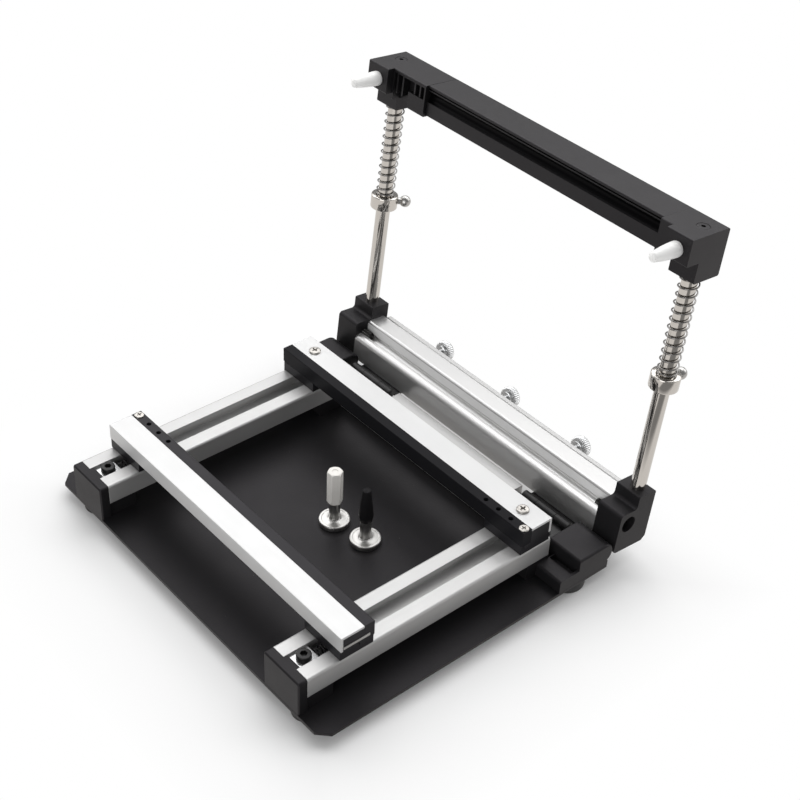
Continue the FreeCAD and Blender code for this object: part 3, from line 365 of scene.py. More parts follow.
dressedPieces = [  # nodes, finish, finish of the eased edges (mostly lighter: partly wear, partly painted highlight), slot, width of the eased edges in mm
    (["base_plate"], "powderCoat", "powderWornHighlightEdge", "black_steel", 0.3),
    (pair("rail"), "aluminiumY", "aluminiumYWornHighlightEdge", "aluminium", 0.15),
    (pair("front_cap") + pair("corner_block"), "mouldedBlack", "mouldedWornHighlightEdge", "black_plastic", 0.35),
    (["rear_crossmember"], "dullAluminium", "aluminiumXWornHighlightEdge", "aluminium", 0.15),
    (pair("hinge_base_leaf") + pair("hinge_frame_leaf") + ["hinge_pins"], "oxide", "oxideWornHighlightEdge",
     "black_steel", 0.16),
    (["rear_bar_core", "front_bar_core", "front_bar_strip"], "stripBlack", "anodisedWornHighlightEdge", "black_aluminium",
     0.15),
    (["rear_bar_strip"], "deepBlack", "anodisedWornHighlightEdge", "black_aluminium", 0.15),
    (["rear_bar_cover", "front_bar_cover"], "brushedCover", "aluminiumXWornHighlightEdge", "aluminium", 0.15),
    (["front_bar_band"], "zinc", "zinc", "steel", 0.06),
    (["rear_slot_nuts"] + pair("stop_block"), "brightZinc", "brightZinc", "steel", 0.2),
    (["frame_beam"], "beamAluminium", "aluminiumXWornHighlightEdge", "aluminium", 0.15),
    (["stencil_clamp_strip"], "aluminiumX", "aluminiumXWornHighlightEdge", "aluminium", 0.15),
    (pair("end_block"), "mouldedBlack", "mouldedWornHighlightEdge", "black_plastic", 0.4),
    (["tension_bar"], "barBlack", "anodisedWornHighlightEdge", "black_aluminium", 0.2),
    (pair("bar_end"), "barBlack", "mouldedWornHighlightEdge", "black_plastic", 0.25),
]

for nodes, finish, edge, slotName, width in dressedPieces:
    for node in nodes:
        addPiece(node + "_dressed", dressed(node, width), bodyOf(node), finish, slotName, node, edge=edge)
print("extruded and moulded pieces dressed")


# Drawing spaces: the base from the front end of the rails, the frame upright from the front of its beam

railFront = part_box("rail_left")[0].y
baseSpace = Matrix.Translation((0, railFront, 0)) @ Matrix.Scale(mm, 4)
hingeSeat = {"setback": 5.1, "below": 2.0}
frameUp = Vector(joints["tension_slide"]["axis"])
frameBack = Vector((0, frameUp.z, -frameUp.y))
leanTurn = Matrix((Vector((1, 0, 0)), frameBack, frameUp)).transposed().to_4x4()
frameSpace = (Matrix.Translation(joints["frame_hinge"]["pos_m"]) @ leanTurn @ Matrix.Scale(mm, 4)
              @ Matrix.Translation((0, hingeSeat["setback"], -hingeSeat["below"])))

# Painted shade and light: the hollow along the tension bar's front gets a darker finish than its faces, as
# painted shade, and the beam's upper wall a lighter one, as painted light

paintedShadeAndLightFaces = {"tension_bar": {"finish": "paintedShadeHollowBlack", "back": (6.03, 7.8), "up": (129.3, 135.3)},
              "frame_beam": {"finish": "paintedLightWallAluminium", "back": (6.8, 7.0), "up": (12.5, 16.8)}}
toFrame = frameSpace.inverted()
for node, zone in paintedShadeAndLightFaces.items():
    mesh = bpy.data.objects[node + "_dressed"].data
    mesh.materials.append(finishes[zone["finish"]])
    for face in mesh.polygons:
        spot = toFrame @ face.center
        inside = zone["back"][0] < spot.y < zone["back"][1] and zone["up"][0] < spot.z < zone["up"][1]
        if inside and face.material_index == faceSlot:
            face.material_index = paintedShadeAndLightSlot


def aimed(place, direction):
    # Turns a shape drawn up the Z axis towards direction, and puts it at place.
    return Matrix.Translation(place) @ Vector(direction).to_track_quat("Z", "Y").to_matrix().to_4x4()


# Geometry trees, drawn in millimetres

mergeWithin = 0.0004


class ShapeTree(Graph):
    def __init__(self, name, sizes):
        super().__init__(bpy.data.node_groups.new(name, "GeometryNodeTree"))
        face = self.tree.interface
        face.new_socket("Geometry", in_out="OUTPUT", socket_type="NodeSocketGeometry")
        face.new_socket("Seats", in_out="INPUT", socket_type="NodeSocketGeometry")
        self.names = {}
        for label, start in sizes.items():
            kind = "NodeSocketInt" if isinstance(start, int) else "NodeSocketFloat"
            kind = "NodeSocketVector" if isinstance(start, tuple) else kind
            socket = face.new_socket(label, in_out="INPUT", socket_type=kind)
            socket.default_value = start
            self.names[label] = socket.identifier
        face.new_socket("Finish", in_out="INPUT", socket_type="NodeSocketMaterial")
        self.names["Finish"] = face.items_tree["Finish"].identifier
        self.source = self.tree.nodes.new("NodeGroupInput")

    def size(self, label):
        return Value(self, self.source.outputs[label])

    def vector(self, x, y, z):
        return self.add("ShaderNodeCombineXYZ", {}, [x, y, z])

    def moved(self, shape, by):
        return self.add("GeometryNodeTransform", {}, {"Geometry": shape, "Translation": by})

    def revolved(self, segments, rings, radiusOf, heightOf):
        # A closed turned shape. Both functions take the angle round it and the share along its outline.
        sheet = self.add("GeometryNodeMeshGrid", {}, {"Size X": 1.0, "Size Y": 1.0,
                                                     "Vertices X": segments + 1, "Vertices Y": rings})
        spot = self.add("ShaderNodeSeparateXYZ", {}, [self.add("GeometryNodeInputPosition")])
        other = Value(self, spot.socket.node.outputs[1])
        angle = (spot + 0.5) * fullTurn
        share = other + 0.5
        radius = radiusOf(angle, share)
        place = self.vector(radius * angle.maths("COSINE"), radius * angle.maths("SINE"),
                            heightOf(angle, share))
        bent = self.add("GeometryNodeSetPosition", {}, {"Geometry": sheet, "Position": place})
        return self.add("GeometryNodeMergeByDistance", {}, {"Geometry": bent, "Distance": mergeWithin})

    def cut(self, shape, *tools):
        node = self.tree.nodes.new("GeometryNodeMeshBoolean")
        node.operation = "DIFFERENCE"
        self.feed(node.inputs["Mesh 1"], shape)
        for tool in tools:
            self.feed(node.inputs["Mesh 2"], tool)
        return Value(self, node.outputs["Mesh"])

    def joined(self, *shapes):
        node = self.tree.nodes.new("GeometryNodeJoinGeometry")
        for shape in shapes:
            self.feed(node.inputs[0], shape)
        return Value(self, node.outputs[0])

    def onSeats(self, shape):
        aim = self.add("FunctionNodeAlignRotationToVector", {"axis": "Z"}, {"Vector": self.size("Outward")})
        return self.add("GeometryNodeInstanceOnPoints", {}, {"Points": self.size("Seats"), "Instance": shape,
                                                             "Rotation": aim})

    def finished(self, shape):
        real = self.add("GeometryNodeRealizeInstances", {}, [shape])
        painted = self.add("GeometryNodeSetMaterial", {}, {"Geometry": real,
                                                           "Material": self.size("Finish")})
        smooth = self.add("GeometryNodeSetShadeSmooth", {}, {"Geometry": painted})
        end = self.tree.nodes.new("NodeGroupOutput")
        self.feed(end.inputs[0], smooth)
        return self


def grown(shapeTree, space, sizes, seats=((0, 0, 0),), sharpFrom=38.0):
    # Runs a tree on its seats and gives the plain mesh, in its place. addPiece puts the finish on it.
    points = bpy.data.meshes.new("seats")
    points.from_pydata([Vector(seat) for seat in seats], [], [])
    holder = bpy.data.objects.new("holder", points)
    bpy.context.scene.collection.objects.link(holder)
    maker = holder.modifiers.new("maker", "NODES")
    maker.node_group = shapeTree.tree
    for label, size in sizes.items():
        maker[shapeTree.names[label]] = size
    maker[shapeTree.names["Finish"]] = finishes["zinc"]
    mesh = plainMesh(holder)
    mesh.transform(space)
    mesh.set_sharp_from_angle(angle=math.radians(sharpFrom))
    return mesh


def springTree():
    tree = ShapeTree("coilSpring", {"Diameter": 8.0, "Wire": 0.65, "Turns": 12.0, "Closed turns": 1.0,
                                    "Height": 40.0, "Steps": 40, "Sides": 10})
    turns, closed, wire = tree.size("Turns"), tree.size("Closed turns"), tree.size("Wire")
    steps = turns * tree.size("Steps")
    line = tree.add("GeometryNodeMeshLine", {}, {"Count": steps + 1})
    path = tree.add("GeometryNodeMeshToCurve", {}, [line])
    turned = tree.add("GeometryNodeInputIndex") / tree.size("Steps")
    active = turns - closed * 2.0
    pitch = (tree.size("Height") - wire - closed * wire * 2.0) / active
    lower = turned.maths("MINIMUM", closed) * wire
    middle = (turned - closed).maths("MAXIMUM", 0.0).maths("MINIMUM", active) * pitch
    upper = (turned - closed - active).maths("MAXIMUM", 0.0) * wire
    radius = (tree.size("Diameter") - wire) * 0.5
    angle = turned * fullTurn
    place = tree.vector(radius * angle.maths("COSINE"), radius * angle.maths("SINE"),
                        lower + middle + upper + wire * 0.5)
    bent = tree.add("GeometryNodeSetPosition", {}, {"Geometry": path, "Position": place})
    section = tree.add("GeometryNodeCurvePrimitiveCircle", {}, {"Resolution": tree.size("Sides"),
                                                               "Radius": wire * 0.5})
    return tree.finished(tree.add("GeometryNodeCurveToMesh", {}, {"Curve": bent, "Profile Curve": section,
                                                                  "Fill Caps": True}))


headDetail = {"segments": 36, "rings": 25, "crown": 1.5}
shankDetail = {"segments": 20, "rings": 160, "start": 0.004, "stretch": 1.008, "threadDepth": 0.7,
               "openFrom": 0.002, "openTo": 0.998}


def headShape(tree, squareness):
    # A screw head from its flat seat up a steep side and over a low crown.
    across, high = tree.size("Head"), tree.size("Head height")

    def radiusOf(angle, share):
        climb = (share - 0.5) * math.pi
        return across * 0.5 * climb.maths("COSINE").maths("MAXIMUM", 0.0) ** squareness

    def heightOf(angle, share):
        climb = (share - 0.5) * math.pi
        return high * climb.maths("SINE").maths("MAXIMUM", 0.0) ** (squareness * headDetail["crown"])

    return tree.revolved(headDetail["segments"], headDetail["rings"], radiusOf, heightOf)


def shankShape(tree):
    # A threaded shank below the seat. Its outline swells once for each pitch and climbs with the angle.
    width, long, pitch = tree.size("Shank"), tree.size("Length"), tree.size("Pitch")

    def inside(share):
        return (share - shankDetail["start"]).maths("MAXIMUM", 0.0) * shankDetail["stretch"]

    def radiusOf(angle, share):
        wave = ((inside(share) * long / pitch - angle / fullTurn).maths("FRACT") - 0.5).maths("ABSOLUTE")
        body = width * 0.5 - wave * pitch * shankDetail["threadDepth"]
        return body * (share.maths("GREATER_THAN", shankDetail["openFrom"])
                       * share.maths("LESS_THAN", shankDetail["openTo"]))

    def heightOf(angle, share):
        return inside(share).maths("MINIMUM", 1.0) * long * -1.0

    return tree.revolved(shankDetail["segments"], shankDetail["rings"], radiusOf, heightOf)


screwSizes = {"Head": 5.5, "Head height": 0.9, "Recess": 2.6, "Recess depth": 0.6, "Shank": 3.0,
              "Length": 6.0, "Pitch": 0.5, "Outward": (0.0, 0.0, 1.0)}
crossDetail = {"squareness": 0.35, "armWidth": 0.24, "pitTop": 0.3, "pitFoot": 0.1, "pitDepth": 1.2,
               "pitSides": 16}
socketDetail = {"squareness": 0.12, "sides": 6, "cornerShare": 0.577}


def crossScrewTree():
    tree = ShapeTree("crossScrew", screwSizes)
    recess, deep, top = tree.size("Recess"), tree.size("Recess depth"), tree.size("Head height")
    arm = recess * crossDetail["armWidth"]
    long = tree.add("GeometryNodeMeshCube", {}, {"Size": tree.vector(recess, arm, deep * 2.0)})
    wide = tree.add("GeometryNodeMeshCube", {}, {"Size": tree.vector(arm, recess, deep * 2.0)})
    pit = tree.add("GeometryNodeMeshCone", {}, {
        "Vertices": crossDetail["pitSides"], "Radius Top": recess * crossDetail["pitTop"],
        "Radius Bottom": recess * crossDetail["pitFoot"], "Depth": deep * crossDetail["pitDepth"]})
    high = tree.vector(0.0, 0.0, top)
    solidHead = headShape(tree, crossDetail["squareness"])
    head = tree.cut(solidHead, tree.moved(long, high), tree.moved(wide, high),
                    tree.moved(pit, tree.vector(0.0, 0.0, top - deep)))
    return tree.finished(tree.onSeats(tree.joined(head, shankShape(tree))))


def socketScrewTree():
    tree = ShapeTree("socketScrew", screwSizes)
    recess, deep, top = tree.size("Recess"), tree.size("Recess depth"), tree.size("Head height")
    key = tree.add("GeometryNodeMeshCylinder", {}, {
        "Vertices": socketDetail["sides"], "Radius": recess * socketDetail["cornerShare"],
        "Depth": deep * 2.0})
    head = tree.cut(headShape(tree, socketDetail["squareness"]), tree.moved(key, tree.vector(0.0, 0.0, top)))
    return tree.finished(tree.onSeats(tree.joined(head, shankShape(tree))))


knobDetail = {"ridgeShape": 0.7, "fadeSlope": 3.0, "fadeStart": 0.9, "sideSquareness": 0.16,
              "endSquareness": 0.5, "pointsPerRidge": 8, "rings": 33}


def ridgedKnobTree():
    tree = ShapeTree("ridgedKnob", {"Diameter": 9.0, "Height": 3.6, "Ridges": 20, "Ridge depth": 0.45,
                                    "Outward": (0.0, 0.0, 1.0)})
    width, high, deep = tree.size("Diameter"), tree.size("Height"), tree.size("Ridge depth")

    def radiusOf(angle, share):
        climb = (share - 0.5) * math.pi
        ridge = (angle * tree.size("Ridges") * 0.5).maths("SINE").maths("ABSOLUTE")
        side = climb.maths("COSINE").maths("MAXIMUM", 0.0)
        fade = (side * knobDetail["fadeSlope"] - knobDetail["fadeStart"]).maths("MAXIMUM", 0.0)
        valley = deep * (1.0 - ridge ** knobDetail["ridgeShape"]) * fade.maths("MINIMUM", 1.0)
        return width * 0.5 * side ** knobDetail["sideSquareness"] - valley

    def heightOf(angle, share):
        sine = ((share - 0.5) * math.pi).maths("SINE")
        rise = sine.maths("SIGN") * sine.maths("ABSOLUTE") ** knobDetail["endSquareness"]
        return high * 0.5 * (1.0 + rise)

    around = tree.size("Ridges") * knobDetail["pointsPerRidge"]
    return tree.finished(tree.onSeats(tree.revolved(around, knobDetail["rings"], radiusOf, heightOf)))


coilSpring = springTree()
crossScrew = crossScrewTree()
socketScrew = socketScrewTree()
ridgedKnob = ridgedKnobTree()
print("shape trees built")


# Turned pieces

softTurn = 35.0
onAxis = 1e-6
sixth = fullTurn / 6


def turnedMesh(outline, space, segments=64, flatHalf=None):
    # Spins an outline of (radius, height) round the Z axis of its space. Six flats cut it where asked.
    def place(radius, height, angle):
        if flatHalf:
            radius = min(radius, flatHalf / math.cos(angle % sixth - sixth / 2))
        return (radius * math.cos(angle), radius * math.sin(angle), height)

    work = bmesh.new()
    rings = []
    for radius, height in outline:
        angles = [0.0] if radius < onAxis else [fullTurn * i / segments for i in range(segments)]
        rings.append([work.verts.new(place(radius, height, angle)) for angle in angles])
    for lower, upper in zip(rings, rings[1:]):
        for i in range(segments):
            j = (i + 1) % segments
            corners = [lower[i % len(lower)], lower[j % len(lower)],
                       upper[j % len(upper)], upper[i % len(upper)]]
            work.faces.new(list(dict.fromkeys(corners)))
    bmesh.ops.recalc_face_normals(work, faces=work.faces)
    for face in work.faces:
        face.smooth = True
    mesh = bpy.data.meshes.new("turned")
    work.to_mesh(mesh)
    work.free()
    mesh.transform(space)
    mesh.set_sharp_from_angle(angle=math.radians(softTurn))
    return mesh


def rounded(radius, height, edge, steps=4):
    # The outer part of an outline that turns over a rounded top edge.
    return [(radius - edge + edge * math.cos(math.pi / 2 * i / steps),
             height - edge + edge * math.sin(math.pi / 2 * i / steps)) for i in range(steps + 1)]


def flipped(outline, middle):
    # The same outline upside down about a height, in the order that carries on from it.
    return [(radius, 2 * middle - height) for radius, height in reversed(outline)]


def together(meshes):
    work = bmesh.new()
    for mesh in meshes:
        work.from_mesh(mesh)
    whole = bpy.data.meshes.new("together")
    work.to_mesh(whole)
    work.free()
    whole.set_sharp_from_angle(angle=math.radians(softTurn))
    return whole


# Rods, collars and their springs

rods = {"u": 80.1, "w": 13.45, "radius": 3.0, "foot": 6.0, "top": 122.4, "edge": 0.6}
for side, name in namedSides:
    outline = [(0, rods["foot"]), (rods["radius"], rods["foot"])]
    outline += rounded(rods["radius"], rods["top"], rods["edge"]) + [(0, rods["top"])]
    rodSpace = frameSpace @ Matrix.Translation((side * rods["u"], rods["w"], 0))
    addPiece("polished_rod_" + name, turnedMesh(outline, rodSpace), "stencil_frame", "nickel", "nickel",
             "rod_" + name)

hiddenHead = {"Head height": 0.3, "Recess": 0.8, "Recess depth": 0.1}


def threadedStud(space, sizes, start):
    # A thread from start back to its tip. Its small head is hidden in the grip that it carries.
    stud = {**hiddenHead, "Head": sizes["thread"], "Shank": sizes["thread"], "Length": start - sizes["tip"],
            "Pitch": sizes["pitch"]}
    return grown(socketScrew, space, stud, [(0, 0, start)])


collars = {"v": 72.7, "height": 6.0, "radius": 5.75, "bore": 3.05, "edge": 0.5, "boreEdge": 0.2,
           "leftTurn": 34.0, "tip": 3.15, "ball": 2.5, "reach": 8.95, "neck": 1.45, "neckStart": 5.85,
           "thread": 2.5, "pitch": 0.45, "ballSteps": 16, "ringSegments": 72, "ballSegments": 40}
for side, name in namedSides:
    middle, top = collars["v"], collars["v"] + collars["height"] / 2
    upper = [(collars["bore"], middle), (collars["bore"], top - collars["boreEdge"]),
             (collars["bore"] + collars["boreEdge"], top)]
    upper += reversed(rounded(collars["radius"], top, collars["edge"]))
    collarSpace = frameSpace @ Matrix.Translation((side * rods["u"], rods["w"], 0))
    ring = turnedMesh(upper + flipped(upper, middle), collarSpace, collars["ringSegments"])
    addPiece("stop_collar_" + name, ring, name + "_collar", "nickel", "nickel", "collar_" + name)
    turn = math.radians(collars["leftTurn"]) if side < 0 else 0.0
    way = Vector((math.sin(turn), math.cos(turn), 0))
    screwSpace = frameSpace @ aimed(Vector((side * rods["u"], rods["w"], middle)), way)
    outline = [(0, collars["neckStart"]), (collars["neck"], collars["neckStart"])]
    neckMeets = math.asin(collars["neck"] / collars["ball"])
    for i in range(collars["ballSteps"]):
        angle = neckMeets + (math.pi - neckMeets) * i / collars["ballSteps"]
        outline.append((collars["ball"] * math.sin(angle),
                        collars["reach"] - collars["ball"] * math.cos(angle)))
    outline.append((0, collars["reach"] + collars["ball"]))
    ball = turnedMesh(outline, screwSpace, collars["ballSegments"])
    stud = threadedStud(screwSpace, collars, collars["neckStart"])
    addPiece("ball_screw_" + name, together([ball, stud]), name + "_collar_screw", "zinc", "nickel",
             "collar_thumb_screw_" + name)


def coilMesh(sizes, space, long):
    return grown(coilSpring, space, {
        "Diameter": sizes["diameter"], "Wire": sizes["wire"], "Turns": sizes["turns"],
        "Closed turns": sizes["closed"], "Height": long})


rodSprings = {"low": 75.85, "high": 117.15, "diameter": 8.0, "wire": 0.62, "turns": 14.0, "closed": 1.2,
              "travel": 8.0}
for side, name in namedSides:
    long = rodSprings["high"] - rodSprings["low"]
    springSpace = frameSpace @ Matrix.Translation((side * rods["u"], rods["w"], rodSprings["low"]))
    spring = addPiece("coiled_spring_" + name, coilMesh(rodSprings, springSpace, long), name + "_collar",
                      "springSteel", "steel", "rod_spring_" + name)
    springSpace @ Vector((0, 0, 0))
    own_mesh(spring)

slotSprings = {"x": 62.8, "start": 10.6, "end": 21.3, "z": 19.1, "diameter": 4.4, "wire": 0.6, "turns": 7.0,
               "closed": 1.0, "travel": 3.0}
for side, name in namedSides:
    long = slotSprings["end"] - slotSprings["start"]
    place = Vector((side * slotSprings["x"], slotSprings["start"], slotSprings["z"]))
    springSpace = baseSpace @ aimed(place, (0, 1, 0))
    spring = addPiece("stop_spring_" + name, coilMesh(slotSprings, springSpace, long), name + "_stop",
                      "oxide", "steel", "slot_spring_" + name)
    springSpace @ Vector((0, 0, 0))
    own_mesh(spring)
print("rods, collars and springs made")


# Thumb screws of the stencil clamp

thumbScrews = {"spacing": 41.45, "v": 14.4, "tip": 8.0, "headStart": 21.4, "collar": 3.0,
               "collarLong": 1.0, "collarLap": 0.2, "grip": 9.0, "gripLong": 3.6, "ridges": 32,
               "ridgeDepth": 0.42, "thread": 3.0, "pitch": 0.5, "segments": 48}
for number, name in ((-1, "left"), (0, "middle"), (1, "right")):
    place = Vector((number * thumbScrews["spacing"], 0, thumbScrews["v"]))
    screwSpace = frameSpace @ aimed(place, (0, 1, 0))
    headStart, collar = thumbScrews["headStart"], thumbScrews["collar"]
    gripStart = headStart + thumbScrews["collarLong"]
    collarEnd = gripStart + thumbScrews["collarLap"]
    grip = grown(ridgedKnob, screwSpace, {
        "Diameter": thumbScrews["grip"], "Height": thumbScrews["gripLong"], "Ridges": thumbScrews["ridges"],
        "Ridge depth": thumbScrews["ridgeDepth"]}, [(0, 0, gripStart)])
    outline = [(0, headStart), (collar, headStart), (collar, collarEnd), (0, collarEnd)]
    neck = turnedMesh(outline, screwSpace, thumbScrews["segments"])
    mesh = together([grip, neck, threadedStud(screwSpace, thumbScrews, headStart)])
    addPiece("ridged_screw_" + name, mesh, name + "_thumb_screw", "brightZinc", "steel",
             "thumb_screw_" + name)
print("thumb screws made")


# Small screws, one group for each kind and body

barScrews = {"Head": 5.1, "Head height": 0.9, "Recess": 2.7, "Recess depth": 0.7, "Shank": 3.0,
             "Length": 16.0, "Pitch": 0.5}
stripScrews = {"Head": 3.95, "Head height": 0.5, "Recess": 2.0, "Recess depth": 0.4, "Shank": 2.0,
               "Length": 5.0, "Pitch": 0.4}
hingeScrews = {"Head": 3.6, "Head height": 0.7, "Recess": 1.8, "Recess depth": 0.45, "Shank": 1.8,
               "Length": 3.2, "Pitch": 0.35}
plateScrews = {"Head": 5.4, "Head height": 1.5, "Recess": 2.7, "Recess depth": 0.9, "Shank": 2.6,
               "Length": 4.5, "Pitch": 0.45}
stopScrews = {"Head": 5.6, "Head height": 3.0, "Recess": 2.5, "Recess depth": 1.4, "Shank": 3.0,
              "Length": 3.0, "Pitch": 0.5}
blockScrews = {"Head": 5.6, "Head height": 2.6, "Recess": 2.5, "Recess depth": 1.2, "Shank": 3.6,
               "Length": 11.6, "Pitch": 0.9}
setScrews = {"Head": 3.0, "Head height": 0.9, "Recess": 1.5, "Recess depth": 0.7, "Shank": 3.0,
             "Length": 0.45, "Pitch": 0.5}
retainers = {"Head": 4.92, "Head height": 1.2, "Recess": 1.6, "Recess depth": 0.8, "Shank": 2.6,
             "Length": 12.0, "Pitch": 0.45}
screwSeats = {"rearBar": (63.3, 108.4, 33.0), "rearStrip": (71.1, 101.55, 33.0),
              "frontStrip": (-71.1, 26.45, 33.0), "hingeX": (45.6, 62.2), "hingeBase": (124.5, 11.5),
              "hingeFrame": (3.3, 0.0), "plate": ((59.8, 9.0, 5.0), (62.8, 112.0, 5.0), (26.6, 125.15, 5.0)),
              "stop": (62.8, 6.0, 19.9), "block": (80.75, 5.2, 12.5), "rodSet": (80.1, 16.9, 19.6),
              "rodRetainer": (80.1, 13.45, 135.0)}


def mirrored(*seats):
    # Each seat on the left and on the right of the machine.
    return [(side * x, y, z) for x, y, z in seats for side in bothSides]


def screwGroup(name, tree, sizes, space, outward, seats, body, finish, slotName, *nodes):
    mesh = grown(tree, space, {**sizes, "Outward": outward}, seats)
    addPiece(name, mesh, body, finish, slotName, *nodes)


screwGroup("bar_screw_pair", crossScrew, barScrews, baseSpace, (0, 0, 1), mirrored(screwSeats["rearBar"]),
           "base", "screwZinc", "steel", "rear_bar_screws")
screwGroup("rear_strip_cross_screw", crossScrew, stripScrews, baseSpace, (0, 0, 1),
           [screwSeats["rearStrip"]], "base", "screwZinc", "steel", "rear_strip_screw")
screwGroup("front_strip_cross_screw", crossScrew, stripScrews, baseSpace, (0, 0, 1),
           [screwSeats["frontStrip"]], "board_clamp", "screwZinc", "steel", "front_strip_screw")
screwGroup("hinge_cross_screws_base", crossScrew, hingeScrews, baseSpace, (0, 0, 1),
           mirrored(*[(x, *screwSeats["hingeBase"]) for x in screwSeats["hingeX"]]), "base", "oxide",
           "black_steel", "hinge_base_screws")
screwGroup("hinge_cross_screws_frame", crossScrew, hingeScrews, frameSpace, (0, 0, -1),
           mirrored(*[(x, *screwSeats["hingeFrame"]) for x in screwSeats["hingeX"]]), "stencil_frame",
           "oxide", "black_steel", "hinge_frame_screws")
screwGroup("plate_cross_screws", crossScrew, plateScrews, baseSpace, (0, 0, -1),
           mirrored(*screwSeats["plate"]), "base", "zinc", "steel", "plate_screws")
for (side, name), seat in zip(namedSides, mirrored(screwSeats["stop"])):
    screwGroup("stop_socket_screw_" + name, socketScrew, stopScrews, baseSpace, (0, 0, 1), [seat],
               name + "_stop", "oxide", "black_steel", "stop_screw_" + name)
blockMeshes = [grown(socketScrew, frameSpace, {**blockScrews, "Outward": (side, 0, 0)}, [seat])
               for side, seat in zip(bothSides, mirrored(screwSeats["block"]))]
addPiece("block_socket_screws", together(blockMeshes), "stencil_frame", "darkThread", "black_steel",
         "end_block_screws")
screwGroup("rod_set_socket_screws", socketScrew, setScrews, frameSpace, (0, 1, 0),
           mirrored(screwSeats["rodSet"]), "stencil_frame", "oxide", "black_steel", "rod_set_screws")
screwGroup("rod_retaining_screws", socketScrew, retainers, frameSpace, (0, 0, 1),
           mirrored(screwSeats["rodRetainer"]), "stencil_frame", "barBlack", "black_steel", "rod_retainers")
print("screws made")


# Pegs, pillars and feet

pegs = {"u": 79.8, "v": 130.4, "seat": 1.4, "radius": 3.0, "fitted": 0.12, "body": 11.8, "tip": 1.95,
        "tipLong": 1.38, "inset": 0.01, "curve": 1.8, "steps": 24, "tipSteps": 8, "segments": 48}
pegMeshes = []
for side in bothSides:
    pegSpace = frameSpace @ aimed(Vector((side * pegs["u"], pegs["seat"], pegs["v"])), (0, -1, 0))
    outline = [(0, 0), (pegs["radius"] - pegs["fitted"], 0)]
    for i in range(1, pegs["steps"]):
        share = i / pegs["steps"]
        swell = (pegs["radius"] - pegs["tip"]) * (1 - share ** pegs["curve"]) - pegs["inset"]
        outline.append((pegs["tip"] + swell, pegs["body"] * share))
    for i in range(pegs["tipSteps"]):
        angle = math.pi / 2 * i / pegs["tipSteps"]
        outline.append((pegs["tip"] * math.cos(angle), pegs["body"] + pegs["tipLong"] * math.sin(angle)))
    outline.append((0, pegs["body"] + pegs["tipLong"]))
    pegMeshes.append(turnedMesh(outline, pegSpace, pegs["segments"]))
addPiece("nylon_pegs", together(pegMeshes), "tension_bar", "nylon", "white_nylon", "bar_pegs")

pillars = {"hex": (2.7, 67.1), "cone": (18.7, 69.7), "low": 6.55, "capLow": 17.3, "top": 32.55}
pillarFoot = {"disc": 2.2, "radius": 6.25, "lowEdge": 0.2, "edge": 0.5, "rim": 1.1, "rimWall": 0.2,
              "groove": 0.15, "hub": 0.7, "hubWall": 0.3, "collar": 0.25, "stud": 2.25}
for name in ("hex", "cone"):
    radius, stud, discTop = pillarFoot["radius"], pillarFoot["stud"], pillars["low"] + pillarFoot["disc"]
    grooveOuter, grooveInner = radius - pillarFoot["rim"], stud + pillarFoot["hub"]
    grooveFloor = discTop - pillarFoot["groove"]
    outline = [(0, pillars["low"]), (radius - pillarFoot["lowEdge"], pillars["low"]),
               (radius, pillars["low"] + pillarFoot["lowEdge"])]
    outline += rounded(radius, discTop, pillarFoot["edge"])
    outline += [(grooveOuter, discTop), (grooveOuter - pillarFoot["rimWall"], grooveFloor),
                (grooveInner, grooveFloor), (grooveInner - pillarFoot["hubWall"], discTop),
                (stud, discTop + pillarFoot["collar"]), (stud, pillars["capLow"]), (0, pillars["capLow"])]
    space = baseSpace @ Matrix.Translation((*pillars[name], 0))
    addPiece(name + "_pillar_foot", turnedMesh(outline, space), name + "_pillar", "zinc", "steel",
             name + "_pillar_base")

hexCap = {"flatHalf": 2.75, "corner": 3.175, "bevel": 0.6, "bevelSlope": 0.7, "steps": 4, "dimple": 1.2,
          "dimpleWall": 0.1, "dimpleDepth": 0.3, "segments": 96}
losses = [hexCap["bevel"] * (1 - i / hexCap["steps"]) for i in range(hexCap["steps"] + 1)]
lowBevel = [(hexCap["corner"] - lost, pillars["capLow"] + hexCap["bevelSlope"] * (hexCap["bevel"] - lost))
            for lost in losses]
middle = (pillars["capLow"] + pillars["top"]) / 2
dimpleFloor = pillars["top"] - hexCap["dimpleDepth"]
outline = [(0, pillars["capLow"])] + lowBevel + flipped(lowBevel, middle)
outline += [(hexCap["dimple"], pillars["top"]), (hexCap["dimple"] - hexCap["dimpleWall"], dimpleFloor),
            (0, dimpleFloor)]
space = baseSpace @ Matrix.Translation((*pillars["hex"], 0))
addPiece("six_sided_cap", turnedMesh(outline, space, hexCap["segments"], hexCap["flatHalf"]), "hex_pillar",
         "warmNylon", "white_nylon", "hex_pillar_cap")

coneCap = {"foot": 2.45, "footEdge": 0.2, "wide": 2.92, "rise": 2.8, "band": 1.2, "bandTaper": 0.04,
           "top": 1.7, "topEdge": 0.35}
wideAt = pillars["capLow"] + coneCap["rise"]
outline = [(0, pillars["capLow"]), (coneCap["foot"] - coneCap["footEdge"], pillars["capLow"]),
           (coneCap["foot"], pillars["capLow"] + coneCap["footEdge"]), (coneCap["wide"], wideAt),
           (coneCap["wide"] - coneCap["bandTaper"], wideAt + coneCap["band"])]
outline += rounded(coneCap["top"], pillars["top"], coneCap["topEdge"]) + [(0, pillars["top"])]
space = baseSpace @ Matrix.Translation((*pillars["cone"], 0))
addPiece("tapered_cap", turnedMesh(outline, space), "cone_pillar", "softBlack", "black_plastic",
         "cone_pillar_cap")

